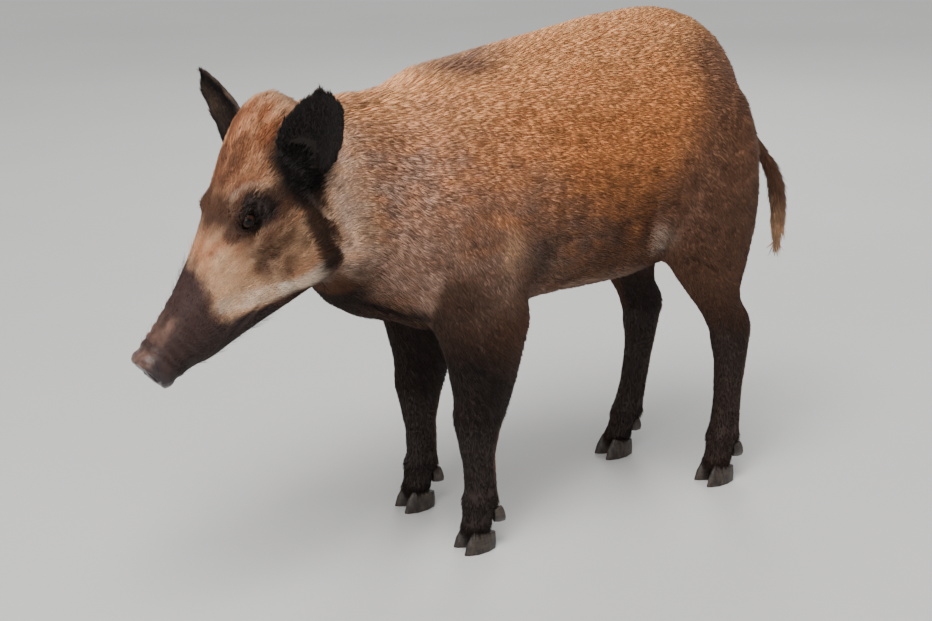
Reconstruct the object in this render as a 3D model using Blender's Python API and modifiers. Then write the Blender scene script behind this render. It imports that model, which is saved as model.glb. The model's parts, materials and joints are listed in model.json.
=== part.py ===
"""A young wild boar, life size, standing still with its head low and turned to its left.

Run it with: blender --background --python part.py

The animal faces -X, its left side is -Y, and its claws stand on the floor at z = 0.
Trunk, neck, head, legs and tail are lofts that are melted into one body, which thin
cuts then part into named solids. Ears, eyes and claws are made apart and let into it.
All the outlines are those of the tips of the coat.
"""

import math
from collections import namedtuple

import bmesh
import bpy
from mathutils import Matrix, Vector

# ---------------------------------------------------------------- driving sizes

WITHERS_HEIGHT = 0.62  # metres, floor to the top of the shoulders
DRAWN_HEIGHT = 0.70  # the withers height at which the tables below are drawn
SCALE = WITHERS_HEIGHT / DRAWN_HEIGHT

GAP = 0.0003  # between neighbouring solids
MELT_SIZE = 0.0062  # voxel of the remesh that melts the lofts together
MELT_PASSES = 7  # smoothing passes after it
HEAD_FINENESS = 7500  # triangles the whole body would have at the head's fineness
BODY_TRIANGLES = 3200  # triangles it has, with the rest of it coarser

# Trunk cross-sections stand upright, from the chest to the buttocks.
TrunkRow = namedtuple("TrunkRow", "x top middle bottom half_width")
TRUNK = (
    TrunkRow(-0.296, 0.610, 0.501, 0.402, 0.062),
    TrunkRow(-0.268, 0.652, 0.501, 0.344, 0.104),
    TrunkRow(-0.207, 0.679, 0.501, 0.318, 0.134),
    TrunkRow(-0.132, 0.692, 0.501, 0.316, 0.144),
    TrunkRow(-0.047, 0.704, 0.507, 0.340, 0.145),
    TrunkRow(0.038, 0.718, 0.513, 0.340, 0.144),
    TrunkRow(0.113, 0.730, 0.524, 0.338, 0.137),
    TrunkRow(0.179, 0.735, 0.536, 0.348, 0.133),
    TrunkRow(0.240, 0.727, 0.542, 0.376, 0.128),
    TrunkRow(0.294, 0.696, 0.542, 0.415, 0.108),
    TrunkRow(0.326, 0.643, 0.536, 0.460, 0.070),
)

BACK_RIDGE = 0.16  # how much narrower than an oval the back is at its top

# Neck cross-sections are square to its own line, which bends to the left.
NeckRow = namedtuple("NeckRow", "x y z up down half_width yaw pitch")
NECK = (
    NeckRow(-0.174, 0.000, 0.503, 0.162, 0.162, 0.113, 0, 0),
    NeckRow(-0.249, 0.000, 0.508, 0.155, 0.172, 0.105, 1, 2),
    NeckRow(-0.306, -0.002, 0.517, 0.145, 0.172, 0.098, 3, 6),
    NeckRow(-0.357, -0.006, 0.526, 0.135, 0.163, 0.090, 6, 12),
    NeckRow(-0.400, -0.012, 0.528, 0.113, 0.140, 0.076, 9, 20),
)

# The head is drawn from the nose back: how far the outline stands above and below
# the line of the face, and half its width.
HEAD_NOSE = Vector((-0.612, -0.050, 0.340))  # middle of the nose disc
HEAD_YAW = 6.0  # degrees to the left
HEAD_PITCH = 40.0  # degrees nose down
HeadRow = namedtuple("HeadRow", "s top bottom half_width")
SKULL = (
    HeadRow(0.006, 0.030, -0.028, 0.030),
    HeadRow(0.014, 0.034, -0.031, 0.035),
    HeadRow(0.028, 0.033, -0.032, 0.033),
    HeadRow(0.050, 0.035, -0.030, 0.031),
    HeadRow(0.090, 0.041, -0.030, 0.034),
    HeadRow(0.140, 0.055, -0.032, 0.039),
    HeadRow(0.190, 0.076, -0.036, 0.046),
    HeadRow(0.240, 0.102, -0.042, 0.056),
    HeadRow(0.295, 0.130, -0.050, 0.068),
    HeadRow(0.350, 0.143, -0.055, 0.071),
    HeadRow(0.395, 0.126, -0.050, 0.054),
)
JAW = (
    HeadRow(0.046, -0.012, -0.034, 0.018),
    HeadRow(0.066, -0.006, -0.045, 0.026),
    HeadRow(0.110, 0.000, -0.056, 0.034),
    HeadRow(0.160, 0.010, -0.069, 0.046),
    HeadRow(0.210, 0.020, -0.085, 0.058),
    HeadRow(0.255, 0.030, -0.096, 0.064),
    HeadRow(0.300, 0.030, -0.100, 0.061),
    HeadRow(0.340, 0.010, -0.092, 0.050),
)

# Leg cross-sections are level: height, where the leg's front and back are, and half
# its width. They belong to the left legs at rest; each leg then takes its own step.
LegRow = namedtuple("LegRow", "z front back y half_width")
FORE_LEG = (
    LegRow(0.583, -0.262, -0.131, 0.072, 0.036),
    LegRow(0.513, -0.283, -0.100, 0.084, 0.046),
    LegRow(0.431, -0.276, -0.084, 0.090, 0.048),
    LegRow(0.361, -0.240, -0.078, 0.092, 0.044),
    LegRow(0.297, -0.214, -0.094, 0.090, 0.038),
    LegRow(0.227, -0.206, -0.119, 0.086, 0.030),
    LegRow(0.181, -0.210, -0.142, 0.084, 0.028),
    LegRow(0.134, -0.202, -0.154, 0.083, 0.022),
    LegRow(0.093, -0.202, -0.154, 0.083, 0.022),
    LegRow(0.066, -0.209, -0.156, 0.084, 0.0245),
    LegRow(0.042, -0.217, -0.169, 0.085, 0.0245),
    LegRow(0.018, -0.222, -0.174, 0.085, 0.0260),
)
HIND_LEG = (
    LegRow(0.652, 0.166, 0.290, 0.050, 0.047),
    LegRow(0.583, 0.141, 0.332, 0.064, 0.063),
    LegRow(0.501, 0.137, 0.340, 0.072, 0.065),
    LegRow(0.425, 0.142, 0.331, 0.080, 0.057),
    LegRow(0.367, 0.168, 0.311, 0.085, 0.044),
    LegRow(0.315, 0.206, 0.293, 0.087, 0.033),
    LegRow(0.280, 0.230, 0.304, 0.087, 0.028),
    LegRow(0.254, 0.244, 0.320, 0.086, 0.027),
    LegRow(0.222, 0.254, 0.313, 0.086, 0.026),
    LegRow(0.181, 0.258, 0.305, 0.085, 0.023),
    LegRow(0.128, 0.254, 0.299, 0.084, 0.021),
    LegRow(0.091, 0.247, 0.296, 0.084, 0.022),
    LegRow(0.066, 0.241, 0.293, 0.085, 0.0245),
    LegRow(0.042, 0.231, 0.279, 0.086, 0.0245),
    LegRow(0.018, 0.226, 0.274, 0.086, 0.0260),
)
LEG_SIDES = 12
# name: (table, side, step forward at the foot, height from which the leg swings)
Leg = namedtuple("Leg", "rows side step hip")
LEGS = {
    "foreleg_left": Leg(FORE_LEG, -1, -0.036, 0.49),
    "foreleg_right": Leg(FORE_LEG, 1, -0.028, 0.49),
    "hindleg_left": Leg(HIND_LEG, -1, -0.018, 0.52),
    "hindleg_right": Leg(HIND_LEG, 1, 0.054, 0.60),
}

# Claws: two that carry each foot and two dewclaws behind them.
CLAW_LENGTH = 0.056
CLAW_WIDTH = 0.024
CLAW_HEIGHT = 0.036
CLAW_SPREAD = 0.0135  # from the foot's middle to each claw's
DEWCLAW_LENGTH = 0.030
DEWCLAW_WIDTH = 0.015
DEWCLAW_DEPTH = 0.021
DEWCLAW_BACK, DEWCLAW_UP = 0.040, 0.050  # from the foot's middle on the floor
DEWCLAW_SPREAD = 0.0135
DEWCLAW_TURN = 106.0  # degrees from lying flat to hanging down behind the foot

# The tail hangs from the rump, swings out behind and ends in a tassel.
TailRow = namedtuple("TailRow", "x z radius")
TAIL = (
    TailRow(0.270, 0.690, 0.020),
    TailRow(0.316, 0.650, 0.016),
    TailRow(0.344, 0.596, 0.013),
    TailRow(0.366, 0.545, 0.011),
    TailRow(0.398, 0.505, 0.010),
    TailRow(0.432, 0.470, 0.011),
    TailRow(0.450, 0.420, 0.014),
    TailRow(0.452, 0.365, 0.011),
    TailRow(0.448, 0.330, 0.005),
)

TASSEL_CUT = (0.419, 0, 0.484)

# Ears, eyes and nostrils, placed on the head's own line.
EAR_LENGTH = 0.116
EAR_WIDTH = 0.088
EAR_THICKNESS = 0.008
EAR_TIP = 0.45  # the tip's width as a share of the ear's
EAR_S, EAR_SIDE, EAR_UP = 0.348, 0.072, 0.076
# Degrees for the left ear and the right: off upright, forward, and the open face's turn.
EAR_SPLAY = (44, 47)
EAR_LEAN = (2, 23)
EAR_TURN = (40, 6)
EAR_ROLL, EAR_CUP = 76, 30  # degrees each side is rolled at the root, and all along
EYE_RADIUS = 0.0135
EYE_S, EYE_SIDE, EYE_UP = 0.230, 0.0465, 0.061
MOUTH_CORNER, MOUTH_UP, MOUTH_SLOPE = 0.168, -0.024, -5.0
NOSTRIL_SIZE = (0.020, 0.0085, 0.0115)
NOSTRIL_SIDE, NOSTRIL_UP = 0.0145, 0.003


# ---------------------------------------------------------------- shared helpers


def clear_scene():
    for thing in list(bpy.data.objects):
        bpy.data.objects.remove(thing)


def new_collection(name):
    made = bpy.data.collections.new(name)
    bpy.context.scene.collection.children.link(made)
    return made


def make_material(name, colour, roughness):
    material = bpy.data.materials.new(name)
    material.use_nodes = True
    shader = material.node_tree.nodes["Principled BSDF"]
    shader.inputs["Base Color"].default_value = (*colour, 1.0)
    shader.inputs["Roughness"].default_value = roughness
    shader.inputs["Metallic"].default_value = 0.0
    material.diffuse_color = (*colour, 1.0)
    return material


def object_from(name, mesh, collection, material=None):
    thing = bpy.data.objects.new(name, mesh)
    collection.objects.link(thing)
    if material:
        mesh.materials.clear()
        mesh.materials.append(material)
    return thing


def evaluated_mesh(thing):
    """The object's mesh with its modifiers applied, in world space."""
    bpy.context.view_layer.update()
    graph = bpy.context.evaluated_depsgraph_get()
    mesh = bpy.data.meshes.new_from_object(thing.evaluated_get(graph))
    mesh.transform(thing.matrix_world)
    return mesh


def mesh_of(bm, name):
    mesh = bpy.data.meshes.new(name)
    bm.to_mesh(mesh)
    bm.free()
    return mesh


def oval(half_width, up, down, sides, squareness=2.0):
    """(across, height) round a cross-section that is deeper on one side than the other."""
    # Subdivision draws a ring of this many sides in by this much.
    drawn_in = (2 + math.cos(2 * math.pi / sides)) / 3
    points = []
    for k in range(sides):
        turn = 2 * math.pi * k / sides
        c, s = math.cos(turn), math.sin(turn)
        across = math.copysign(abs(c) ** (2 / squareness), c) * half_width
        height = math.copysign(abs(s) ** (2 / squareness), s) * (up if s > 0 else down)
        points.append((across / drawn_in, height / drawn_in))
    return points


def loft(name, rings, levels=2):
    """A closed, subdivided skin through rings of equally many points."""
    bm = bmesh.new()
    loops = [[bm.verts.new(point) for point in ring] for ring in rings]
    for lower, upper in zip(loops, loops[1:]):
        for k in range(len(lower)):
            after = (k + 1) % len(lower)
            bm.faces.new((lower[k], lower[after], upper[after], upper[k]))
    bm.faces.new(loops[0])
    bm.faces.new(loops[-1])
    bmesh.ops.recalc_face_normals(bm, faces=bm.faces)
    thing = object_from(name, mesh_of(bm, name), HELPERS)
    smooth = thing.modifiers.new("round", "SUBSURF")
    smooth.levels = levels
    smooth.render_levels = levels
    return thing


def blob(name, place, centre, radii, turn=0.0, detail=3):
    """A bulge of flesh: a stretched sphere placed in the frame `place`."""
    bm = bmesh.new()
    stretch = Matrix.Diagonal((*radii, 1.0))
    spin = Matrix.Rotation(math.radians(turn), 4, "Y")
    where = place @ Matrix.Translation(centre) @ spin @ stretch
    bmesh.ops.create_icosphere(bm, subdivisions=detail, radius=1.0, matrix=where)
    return object_from(name, mesh_of(bm, name), HELPERS)


def turned(yaw, pitch):
    """A frame whose X runs back along a line that points -X, turned left and down."""
    return Matrix.Rotation(math.radians(yaw), 4, "Z") @ Matrix.Rotation(
        -math.radians(pitch), 4, "Y"
    )


# ---------------------------------------------------------------- lofts of the body


def trunk_loft():
    rings = []
    for row in TRUNK:
        up, down = row.top - row.middle, row.middle - row.bottom
        ring = []
        for across, height in oval(row.half_width, up, down, 14, 2.15):
            narrowed = 1.0 - BACK_RIDGE * max(0.0, height / up) ** 2
            ring.append((row.x, across * narrowed, row.middle + height))
        rings.append(ring)
    return loft("trunk_form", rings)


def neck_loft():
    rings = []
    for row in NECK:
        frame = Matrix.Translation((row.x, row.y, row.z)) @ turned(row.yaw, row.pitch)
        outline = oval(row.half_width, row.up, row.down, 12)
        rings.append([frame @ Vector((0, across, height)) for across, height in outline])
    return loft("neck_form", rings)


def head_frame():
    """X runs from the nose back to the skull, Y to the boar's right, Z up off the face."""
    return Matrix.Translation(HEAD_NOSE) @ turned(HEAD_YAW, HEAD_PITCH)


def head_loft(name, rows, squareness):
    place = head_frame()
    rings = []
    for row in rows:
        middle = row.bottom + (row.top - row.bottom) * 0.45
        outline = oval(row.half_width, row.top - middle, middle - row.bottom, 12, squareness)
        rings.append([place @ Vector((row.s, a, middle + h)) for a, h in outline])
    return loft(name, rings)


def head_forms():
    """Skull, jaw and the flesh on them."""
    place = head_frame()
    forms = [head_loft("skull_form", SKULL, 2.1), head_loft("jaw_form", JAW, 2.1)]
    for side in (-1, 1):
        forms += [
            blob("cheek", place, (0.262, side * 0.047, -0.028), (0.062, 0.034, 0.054), 12),
            blob("cheekbone", place, (0.262, side * 0.055, 0.020), (0.060, 0.023, 0.023), 14),
            blob("brow", place, (0.238, side * 0.034, 0.069), (0.032, 0.017, 0.012), 18),
            blob("ear_root", place, (0.342, side * 0.056, 0.066), (0.036, 0.028, 0.036)),
            blob("lip", place, (0.105, side * 0.026, -0.022), (0.056, 0.012, 0.016), 8),
        ]
    return forms


def leg_shift(leg, z):
    """How far a leg that takes a step is moved forward at this height."""
    return -leg.step * max(0.0, min(1.0, (leg.hip - z) / leg.hip))


def leg_loft(name, leg):
    rings = []
    for row in leg.rows:
        middle = (row.front + row.back) / 2 + leg_shift(leg, row.z)
        depth = (row.back - row.front) / 2
        y = leg.side * row.y
        outline = oval(row.half_width, depth, depth, LEG_SIDES)
        rings.append([(middle + along, y + across, row.z) for across, along in outline])
    return loft(name + "_form", rings)


def tail_loft():
    rings = []
    for k, row in enumerate(TAIL):
        before, after = TAIL[max(k - 1, 0)], TAIL[min(k + 1, len(TAIL) - 1)]
        along = Vector((after.x - before.x, 0, after.z - before.z)).normalized()
        aside = Vector((0, 1, 0))
        out = along.cross(aside)
        centre = Vector((row.x, 0, row.z))
        outline = oval(row.radius, row.radius, row.radius, 6)
        rings.append([centre + aside * across + out * height for across, height in outline])
    return loft("tail_form", rings, levels=1)


# ---------------------------------------------------------------- one melted body


def joined(name, things):
    bm = bmesh.new()
    for thing in things:
        bm.from_mesh(evaluated_mesh(thing))
    return object_from(name, mesh_of(bm, name), HELPERS)


def melt(things):
    """All the lofts as one smooth closed skin."""
    body = joined("melted_body", things)
    remesh = body.modifiers.new("melt", "REMESH")
    remesh.mode = "VOXEL"
    remesh.voxel_size = MELT_SIZE
    smooth = body.modifiers.new("soften", "SMOOTH")
    smooth.factor = 0.5
    smooth.iterations = MELT_PASSES
    return object_from("smooth_body", evaluated_mesh(body), HELPERS)


def thin(body):
    """Fewer triangles everywhere, then fewer still away from the head."""
    fewer = body.modifiers.new("thin", "DECIMATE")
    fewer.ratio = HEAD_FINENESS / (2 * len(body.data.polygons))
    thinner = object_from("thinner_body", evaluated_mesh(body), HELPERS)
    into_head = head_frame().inverted()
    rest = thinner.vertex_groups.new(name="rest")
    for vertex in thinner.data.vertices:
        seen = into_head @ vertex.co
        if seen.x > 0.36 or seen.z < -0.13:
            rest.add([vertex.index], 1.0, "REPLACE")
    fewer = thinner.modifiers.new("thin", "DECIMATE")
    fewer.ratio = BODY_TRIANGLES / HEAD_FINENESS
    fewer.vertex_group = "rest"
    fewer.vertex_group_factor = 1.0
    return object_from("thin_body", evaluated_mesh(thinner), HELPERS)


# ---------------------------------------------------------------- claws, ears, eyes


def claw_mesh(length, width, height, toe_in):
    """A pointed, flat-soled claw: its toe points -X, its sole lies at z = 0."""
    bm = bmesh.new()
    steps = 10
    levels = ((0.0, 1.0, 0.0), (0.45, 0.93, 0.05), (1.0, 0.72, 0.14))
    rings = []
    for share, size, back in levels:
        ring = []
        for k in range(steps):
            turn = 2 * math.pi * k / steps
            along = math.cos(turn)
            # The toe is drawn out to a blunt point and the heel is round.
            taper = 1.0 - 0.42 * max(0.0, -along) ** 2
            across = math.sin(turn) * taper * width / 2
            x = along * length / 2 * size + back * length
            z = share * height * (1.0 - 0.34 * (x / length + 0.5))
            ring.append(bm.verts.new((x, across * size + toe_in * x, z)))
        rings.append(ring)
    for lower, upper in zip(rings, rings[1:]):
        for k in range(steps):
            after = (k + 1) % steps
            bm.faces.new((lower[k], lower[after], upper[after], upper[k]))
    bm.faces.new(rings[0])
    bm.faces.new(rings[-1])
    bmesh.ops.triangulate(bm, faces=[rings_face for rings_face in bm.faces if len(rings_face.verts) > 4])
    bmesh.ops.recalc_face_normals(bm, faces=bm.faces)
    return mesh_of(bm, "claw")


def foot_middle(leg):
    """The point on the floor under the middle of a foot."""
    row = leg.rows[-1]
    x = (row.front + row.back) / 2 + leg_shift(leg, 0.0)
    return Vector((x, leg.side * row.y, 0.0))


def make_claws(name, leg, material):
    claws = []
    middle = foot_middle(leg)
    for place, inward in (("outer", leg.side), ("inner", -leg.side)):
        mesh = claw_mesh(CLAW_LENGTH, CLAW_WIDTH, CLAW_HEIGHT, -inward * 0.10)
        mesh.transform(Matrix.Translation(middle + Vector((0, inward * CLAW_SPREAD, 0))))
        claws.append(object_from(f"claw_{name}_{place}", mesh, BOAR, material))
        mesh = claw_mesh(DEWCLAW_LENGTH, DEWCLAW_WIDTH, DEWCLAW_DEPTH, inward * 0.16)
        tilt = Matrix.Rotation(math.radians(-DEWCLAW_TURN), 4, "Y")
        at = middle + Vector((DEWCLAW_BACK, inward * DEWCLAW_SPREAD, DEWCLAW_UP))
        mesh.transform(Matrix.Translation(at) @ tilt)
        claws.append(object_from(f"dewclaw_{name}_{place}", mesh, BOAR, material))
    return claws


def ear_frame(side):
    """Origin at the root of an ear, Z along it to the tip, -X out of its open face."""
    place = head_frame()
    root = place @ Vector((EAR_S, side * EAR_SIDE, EAR_UP))
    yaw = Matrix.Rotation(math.radians(HEAD_YAW), 4, "Z")
    lean_out = Matrix.Rotation(math.radians(-side * EAR_SPLAY[side > 0]), 4, "X")
    lean = Matrix.Rotation(math.radians(-EAR_LEAN[side > 0]), 4, "Y")
    open_out = Matrix.Rotation(math.radians(-side * EAR_TURN[side > 0]), 4, "Z")
    return Matrix.Translation(root) @ yaw @ lean_out @ lean @ open_out


def ear_mesh(side):
    """A cupped leaf: wide in the middle, blunt at the tip, rolled at the root."""
    bm = bmesh.new()
    rows, columns = 5, 3
    bmesh.ops.create_grid(bm, x_segments=columns, y_segments=rows, size=1.0)
    for vertex in bm.verts:
        across, up = vertex.co.x, (vertex.co.y + 1) / 2
        leaf = math.sin(math.pi * min(1.0, 0.16 + 0.84 * up ** 0.86)) ** 0.50
        half = EAR_WIDTH / 2 * max(leaf, EAR_TIP if up > 0.9 else 0.0)
        curl = math.radians(EAR_ROLL * (1 - up) ** 1.6 + EAR_CUP)
        angle = across * curl
        radius = half / max(math.sin(min(curl, math.pi / 2)), 0.2)
        vertex.co.y = math.sin(angle) * radius
        vertex.co.x = (1 - math.cos(angle)) * -radius
        vertex.co.z = (up - 0.12) * EAR_LENGTH * (1 - 0.05 * across * side)
    bmesh.ops.recalc_face_normals(bm, faces=bm.faces)
    return mesh_of(bm, "ear")


def make_ear(name, side, material):
    ear = object_from(name + "_form", ear_mesh(side), HELPERS)
    thick = ear.modifiers.new("thickness", "SOLIDIFY")
    thick.thickness = EAR_THICKNESS
    thick.offset = 0.0
    smooth = ear.modifiers.new("round", "SUBSURF")
    smooth.levels = 1
    smooth.render_levels = 1
    mesh = evaluated_mesh(ear)
    mesh.transform(ear_frame(side))
    return object_from(name, mesh, BOAR, material)


def make_tail(around, material):
    """The tail as two lengths, cut off where it meets the rump."""
    tail = object_from("tail", evaluated_mesh(tail_loft()), HELPERS)
    subtract(tail, [around, slab("cut_tassel", TASSEL_CUT, (0.6, 0, -1.0), 0.08)])
    lengths = sorted(loose_pieces(tail.data), key=lambda piece: -middle_of(piece).z)
    names = ("tail_dock", "tail_tassel")
    if len(lengths) != len(names):
        raise RuntimeError(f"the tail fell into {len(lengths)} pieces")
    return [
        object_from(name, mesh_of(piece, name), BOAR, material)
        for name, piece in zip(names, lengths)
    ]


def eye_centre(side):
    return head_frame() @ Vector((EYE_S, side * EYE_SIDE, EYE_UP))


def ball(name, centre, radius, collection, material=None):
    bm = bmesh.new()
    where = Matrix.Translation(centre) @ turned(HEAD_YAW, HEAD_PITCH)
    bmesh.ops.create_uvsphere(bm, u_segments=12, v_segments=8, radius=radius, matrix=where)
    return object_from(name, mesh_of(bm, name), collection, material)


# ---------------------------------------------------------------- cutting


def hide(thing):
    thing.hide_render = True
    thing.display_type = "WIRE"


def swollen(thing, by):
    """A copy of a solid, grown by a gap, to cut its neighbour with."""
    mesh = evaluated_mesh(thing)
    bm = bmesh.new()
    bm.from_mesh(mesh)
    bm.normal_update()
    moves = {v: v.normal * by * v.calc_shell_factor() for v in bm.verts}
    for vertex, move in moves.items():
        vertex.co += move
    grown = object_from(thing.name + "_cutter", mesh_of(bm, "cutter"), CUTTERS)
    hide(grown)
    return grown


def subtract(thing, cutters):
    """Cuts all the cutters from a mesh object, for good."""
    for cutter in cutters:
        cut = thing.modifiers.new("cut", "BOOLEAN")
        cut.operation = "DIFFERENCE"
        cut.solver = "EXACT"
        cut.object = cutter
    mesh = evaluated_mesh(thing)
    material = thing.data.materials[0] if thing.data.materials else None
    thing.modifiers.clear()
    thing.data = mesh
    thing.matrix_world = Matrix.Identity(4)
    mesh.materials.clear()
    if material:
        mesh.materials.append(material)


def plate(name, frame, size):
    """A thin plate, one gap thick, that parts the body where it stands."""
    bm = bmesh.new()
    thickness = GAP / SCALE
    stretch = Matrix.Diagonal((size[0], size[1], thickness, 1))
    bmesh.ops.create_cube(bm, size=1.0, matrix=frame @ stretch)
    thing = object_from(name, mesh_of(bm, name), CUTTERS)
    hide(thing)
    return thing


def slab(name, centre, normal, size):
    """A plate through a point, facing along a normal."""
    aim = Vector(normal).to_track_quat("Z", "Y").to_matrix().to_4x4()
    return plate(name, Matrix.Translation(centre) @ aim, (size, size))


def jaw_plates():
    """The line of the mouth, and the cut across the jaw where the line ends."""
    line = head_frame() @ Matrix.Translation((MOUTH_CORNER, 0, MOUTH_UP))
    along = line @ Matrix.Rotation(math.radians(MOUTH_SLOPE), 4, "Y")
    mouth = plate("cut_mouth", along @ Matrix.Translation((-0.08, 0, 0)), (0.16, 0.2))
    across = line @ Matrix.Translation((0, 0, -0.06)) @ Matrix.Rotation(math.radians(90), 4, "Y")
    return [mouth, plate("cut_jaw", across, (0.12, 0.2))]


def loose_pieces(mesh):
    """The separate bodies of a mesh, each as its own bmesh."""
    source = bmesh.new()
    source.from_mesh(mesh)
    unseen = set(source.verts)
    pieces = []
    while unseen:
        found = {unseen.pop()}
        edge = list(found)
        while edge:
            vertex = edge.pop()
            for link in vertex.link_edges:
                other = link.other_vert(vertex)
                if other in unseen:
                    unseen.discard(other)
                    found.add(other)
                    edge.append(other)
        piece = bmesh.new()
        copies = {vertex: piece.verts.new(vertex.co) for vertex in found}
        for face in {f for vertex in found for f in vertex.link_faces}:
            piece.faces.new([copies[vertex] for vertex in face.verts])
        pieces.append(piece)
    source.free()
    return pieces


def middle_of(bm):
    """The middle of the box round a piece."""
    axes = list(zip(*(vertex.co for vertex in bm.verts)))
    return Vector([(min(axis) + max(axis)) / 2 for axis in axes])


def body_slabs():
    """Where the body is parted, as thin plates."""
    place = head_frame()
    along = (place.to_3x3() @ Vector((1, 0, 0))).normalized()
    plates = [
        slab("cut_nose", place @ Vector((0.024, 0, 0)), along, 0.2),
        slab("cut_head", place @ Vector((0.372, 0, 0)), turned(HEAD_YAW, 5) @ Vector((1, 0, 0)), 0.5),
        slab("cut_neck", (-0.246, 0, 0.52), turned(1, -3) @ Vector((1, 0, 0)), 0.7),
    ]
    plates += jaw_plates()
    for name, leg in LEGS.items():
        x, z = (-0.187, 0.198) if leg.rows is FORE_LEG else (0.29, 0.250)
        low = (x + leg_shift(leg, z), leg.side * 0.088, z)
        plates.append(slab("cut_" + name, low, (0.1, 0, 1.0), 0.15))
    return plates


def leg_zone(name, leg):
    """A stretched ball round a leg: what of the body lies in it goes with the leg."""
    if leg.rows is FORE_LEG:
        centre, radii = (-0.170, 0.170, 0.140), (0.130, 0.145, 0.420)
    else:
        centre, radii = (0.240, 0.172, 0.175), (0.142, 0.168, 0.466)
    where = Matrix.Translation((leg_shift(leg, 0.29), 0, 0))
    centre = (centre[0], leg.side * centre[1], centre[2])
    zone = blob("zone_" + name, where, centre, radii, detail=2)
    hide(zone)
    return zone


def intersected(name, thing, zone):
    """What of a solid lies in a zone, as a new solid."""
    kept = object_from(name, thing.data.copy(), HELPERS)
    cut = kept.modifiers.new("keep", "BOOLEAN")
    cut.operation = "INTERSECT"
    cut.solver = "EXACT"
    cut.object = zone
    return evaluated_mesh(kept)


def part_body(body, materials):
    """Cuts the body along the plates and names what falls apart."""
    subtract(body, body_slabs())
    place = head_frame()
    anchors = {
        "nose_disc": place @ Vector((0.010, 0, 0)),
        "head": place @ Vector((0.24, 0, 0.03)),
        "lower_jaw": place @ Vector((0.10, 0, -0.045)),
        "neck": Vector((-0.315, -0.01, 0.52)),
        "trunk": Vector((0.02, 0, 0.50)),
    }
    for name, leg in LEGS.items():
        anchors[name + "_lower"] = foot_middle(leg) + Vector((0, 0, 0.09))
    pieces = loose_pieces(body.data)
    solids = {}
    for piece in pieces:
        centre = middle_of(piece)
        name = min(anchors, key=lambda key: (anchors[key] - centre).length)
        if name in solids:
            raise RuntimeError(f"two pieces lie nearest {name}: {centre}")
        flesh = materials["snout" if name == "nose_disc" else "leg" if "leg" in name else "coat"]
        solids[name] = object_from(name, mesh_of(piece, name), BOAR, flesh)
    missing = sorted(set(anchors) - set(solids))
    if missing:
        raise RuntimeError(f"the cuts left no piece for {missing}")
    zones = []
    for name, leg in LEGS.items():
        zone = leg_zone(name, leg)
        upper = intersected(name, solids["trunk"], zone)
        solids[name + "_upper"] = object_from(name + "_upper", upper, BOAR, materials["leg"])
        zones.append(swollen(zone, GAP / SCALE))
    subtract(solids["trunk"], zones)
    return solids


def nostril_cutters():
    place = head_frame()
    cutters = []
    for side in (-1, 1):
        centre = (0.004, side * NOSTRIL_SIDE, NOSTRIL_UP)
        cutter = blob("nostril", place, centre, NOSTRIL_SIZE, detail=2)
        hide(cutter)
        cutters.append(cutter)
    return cutters


# ---------------------------------------------------------------- the whole animal


def set_size(things):
    """Brings the drawn animal to life size and sets its box's middle over the origin."""
    low, high = [1e9] * 3, [-1e9] * 3
    for thing in things:
        thing.data.transform(Matrix.Scale(SCALE, 4))
        for vertex in thing.data.vertices:
            low = [min(a, b) for a, b in zip(low, vertex.co)]
            high = [max(a, b) for a, b in zip(high, vertex.co)]
    home = Vector((-(low[0] + high[0]) / 2, -(low[1] + high[1]) / 2, -low[2]))
    for thing in things:
        thing.data.transform(Matrix.Translation(home))


def finish(thing):
    """Merges doubles, drops slivers and shades round."""
    bm = bmesh.new()
    bm.from_mesh(thing.data)
    bmesh.ops.remove_doubles(bm, verts=bm.verts, dist=0.00002)
    bmesh.ops.dissolve_degenerate(bm, edges=bm.edges, dist=0.00001)
    bmesh.ops.triangulate(bm, faces=bm.faces)
    bm.to_mesh(thing.data)
    bm.free()
    thing.data.shade_smooth()
    thing.data.set_sharp_from_angle(angle=math.radians(50))


def build():
    materials = {
        "coat": make_material("coat", (0.47, 0.24, 0.11), 0.75),
        "leg": make_material("leg_coat", (0.10, 0.06, 0.045), 0.75),
        "snout": make_material("snout_skin", (0.13, 0.08, 0.075), 0.5),
        "ear": make_material("ear_coat", (0.035, 0.025, 0.022), 0.8),
        "eye": make_material("eye", (0.015, 0.008, 0.005), 0.08),
        "claw": make_material("claw_horn", (0.05, 0.04, 0.035), 0.45),
    }
    forms = [trunk_loft(), neck_loft(), *head_forms()]
    forms += [leg_loft(name, leg) for name, leg in LEGS.items()]
    body = thin(melt(forms))

    eyes, sockets, claws, ears = [], [], [], []
    for word, side in (("left", -1), ("right", 1)):
        eyes.append(ball("eye_" + word, eye_centre(side), EYE_RADIUS, BOAR, materials["eye"]))
        socket = ball("socket", eye_centre(side), EYE_RADIUS + GAP / SCALE, CUTTERS)
        hide(socket)
        sockets.append(socket)
    for name, leg in LEGS.items():
        claws += make_claws(name, leg, materials["claw"])
    cutters = sockets + [swollen(claw, GAP / SCALE) for claw in claws]
    subtract(body, cutters)
    around = swollen(body, GAP / SCALE)
    for word, side in (("left", -1), ("right", 1)):
        ear = make_ear("ear_" + word, side, materials["ear"])
        subtract(ear, [around])
        ears.append(ear)
    tails = make_tail(around, materials["leg"])
    solids = part_body(body, materials)
    subtract(solids["nose_disc"], nostril_cutters())
    things = [*solids.values(), *eyes, *claws, *ears, *tails]
    set_size(things)
    for thing in things:
        finish(thing)
    for helper in [*HELPERS.objects, *CUTTERS.objects]:
        hide(helper)


clear_scene()
BOAR = new_collection("young_wild_boar")
HELPERS = new_collection("forms")
CUTTERS = new_collection("cutters")
build()
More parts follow.
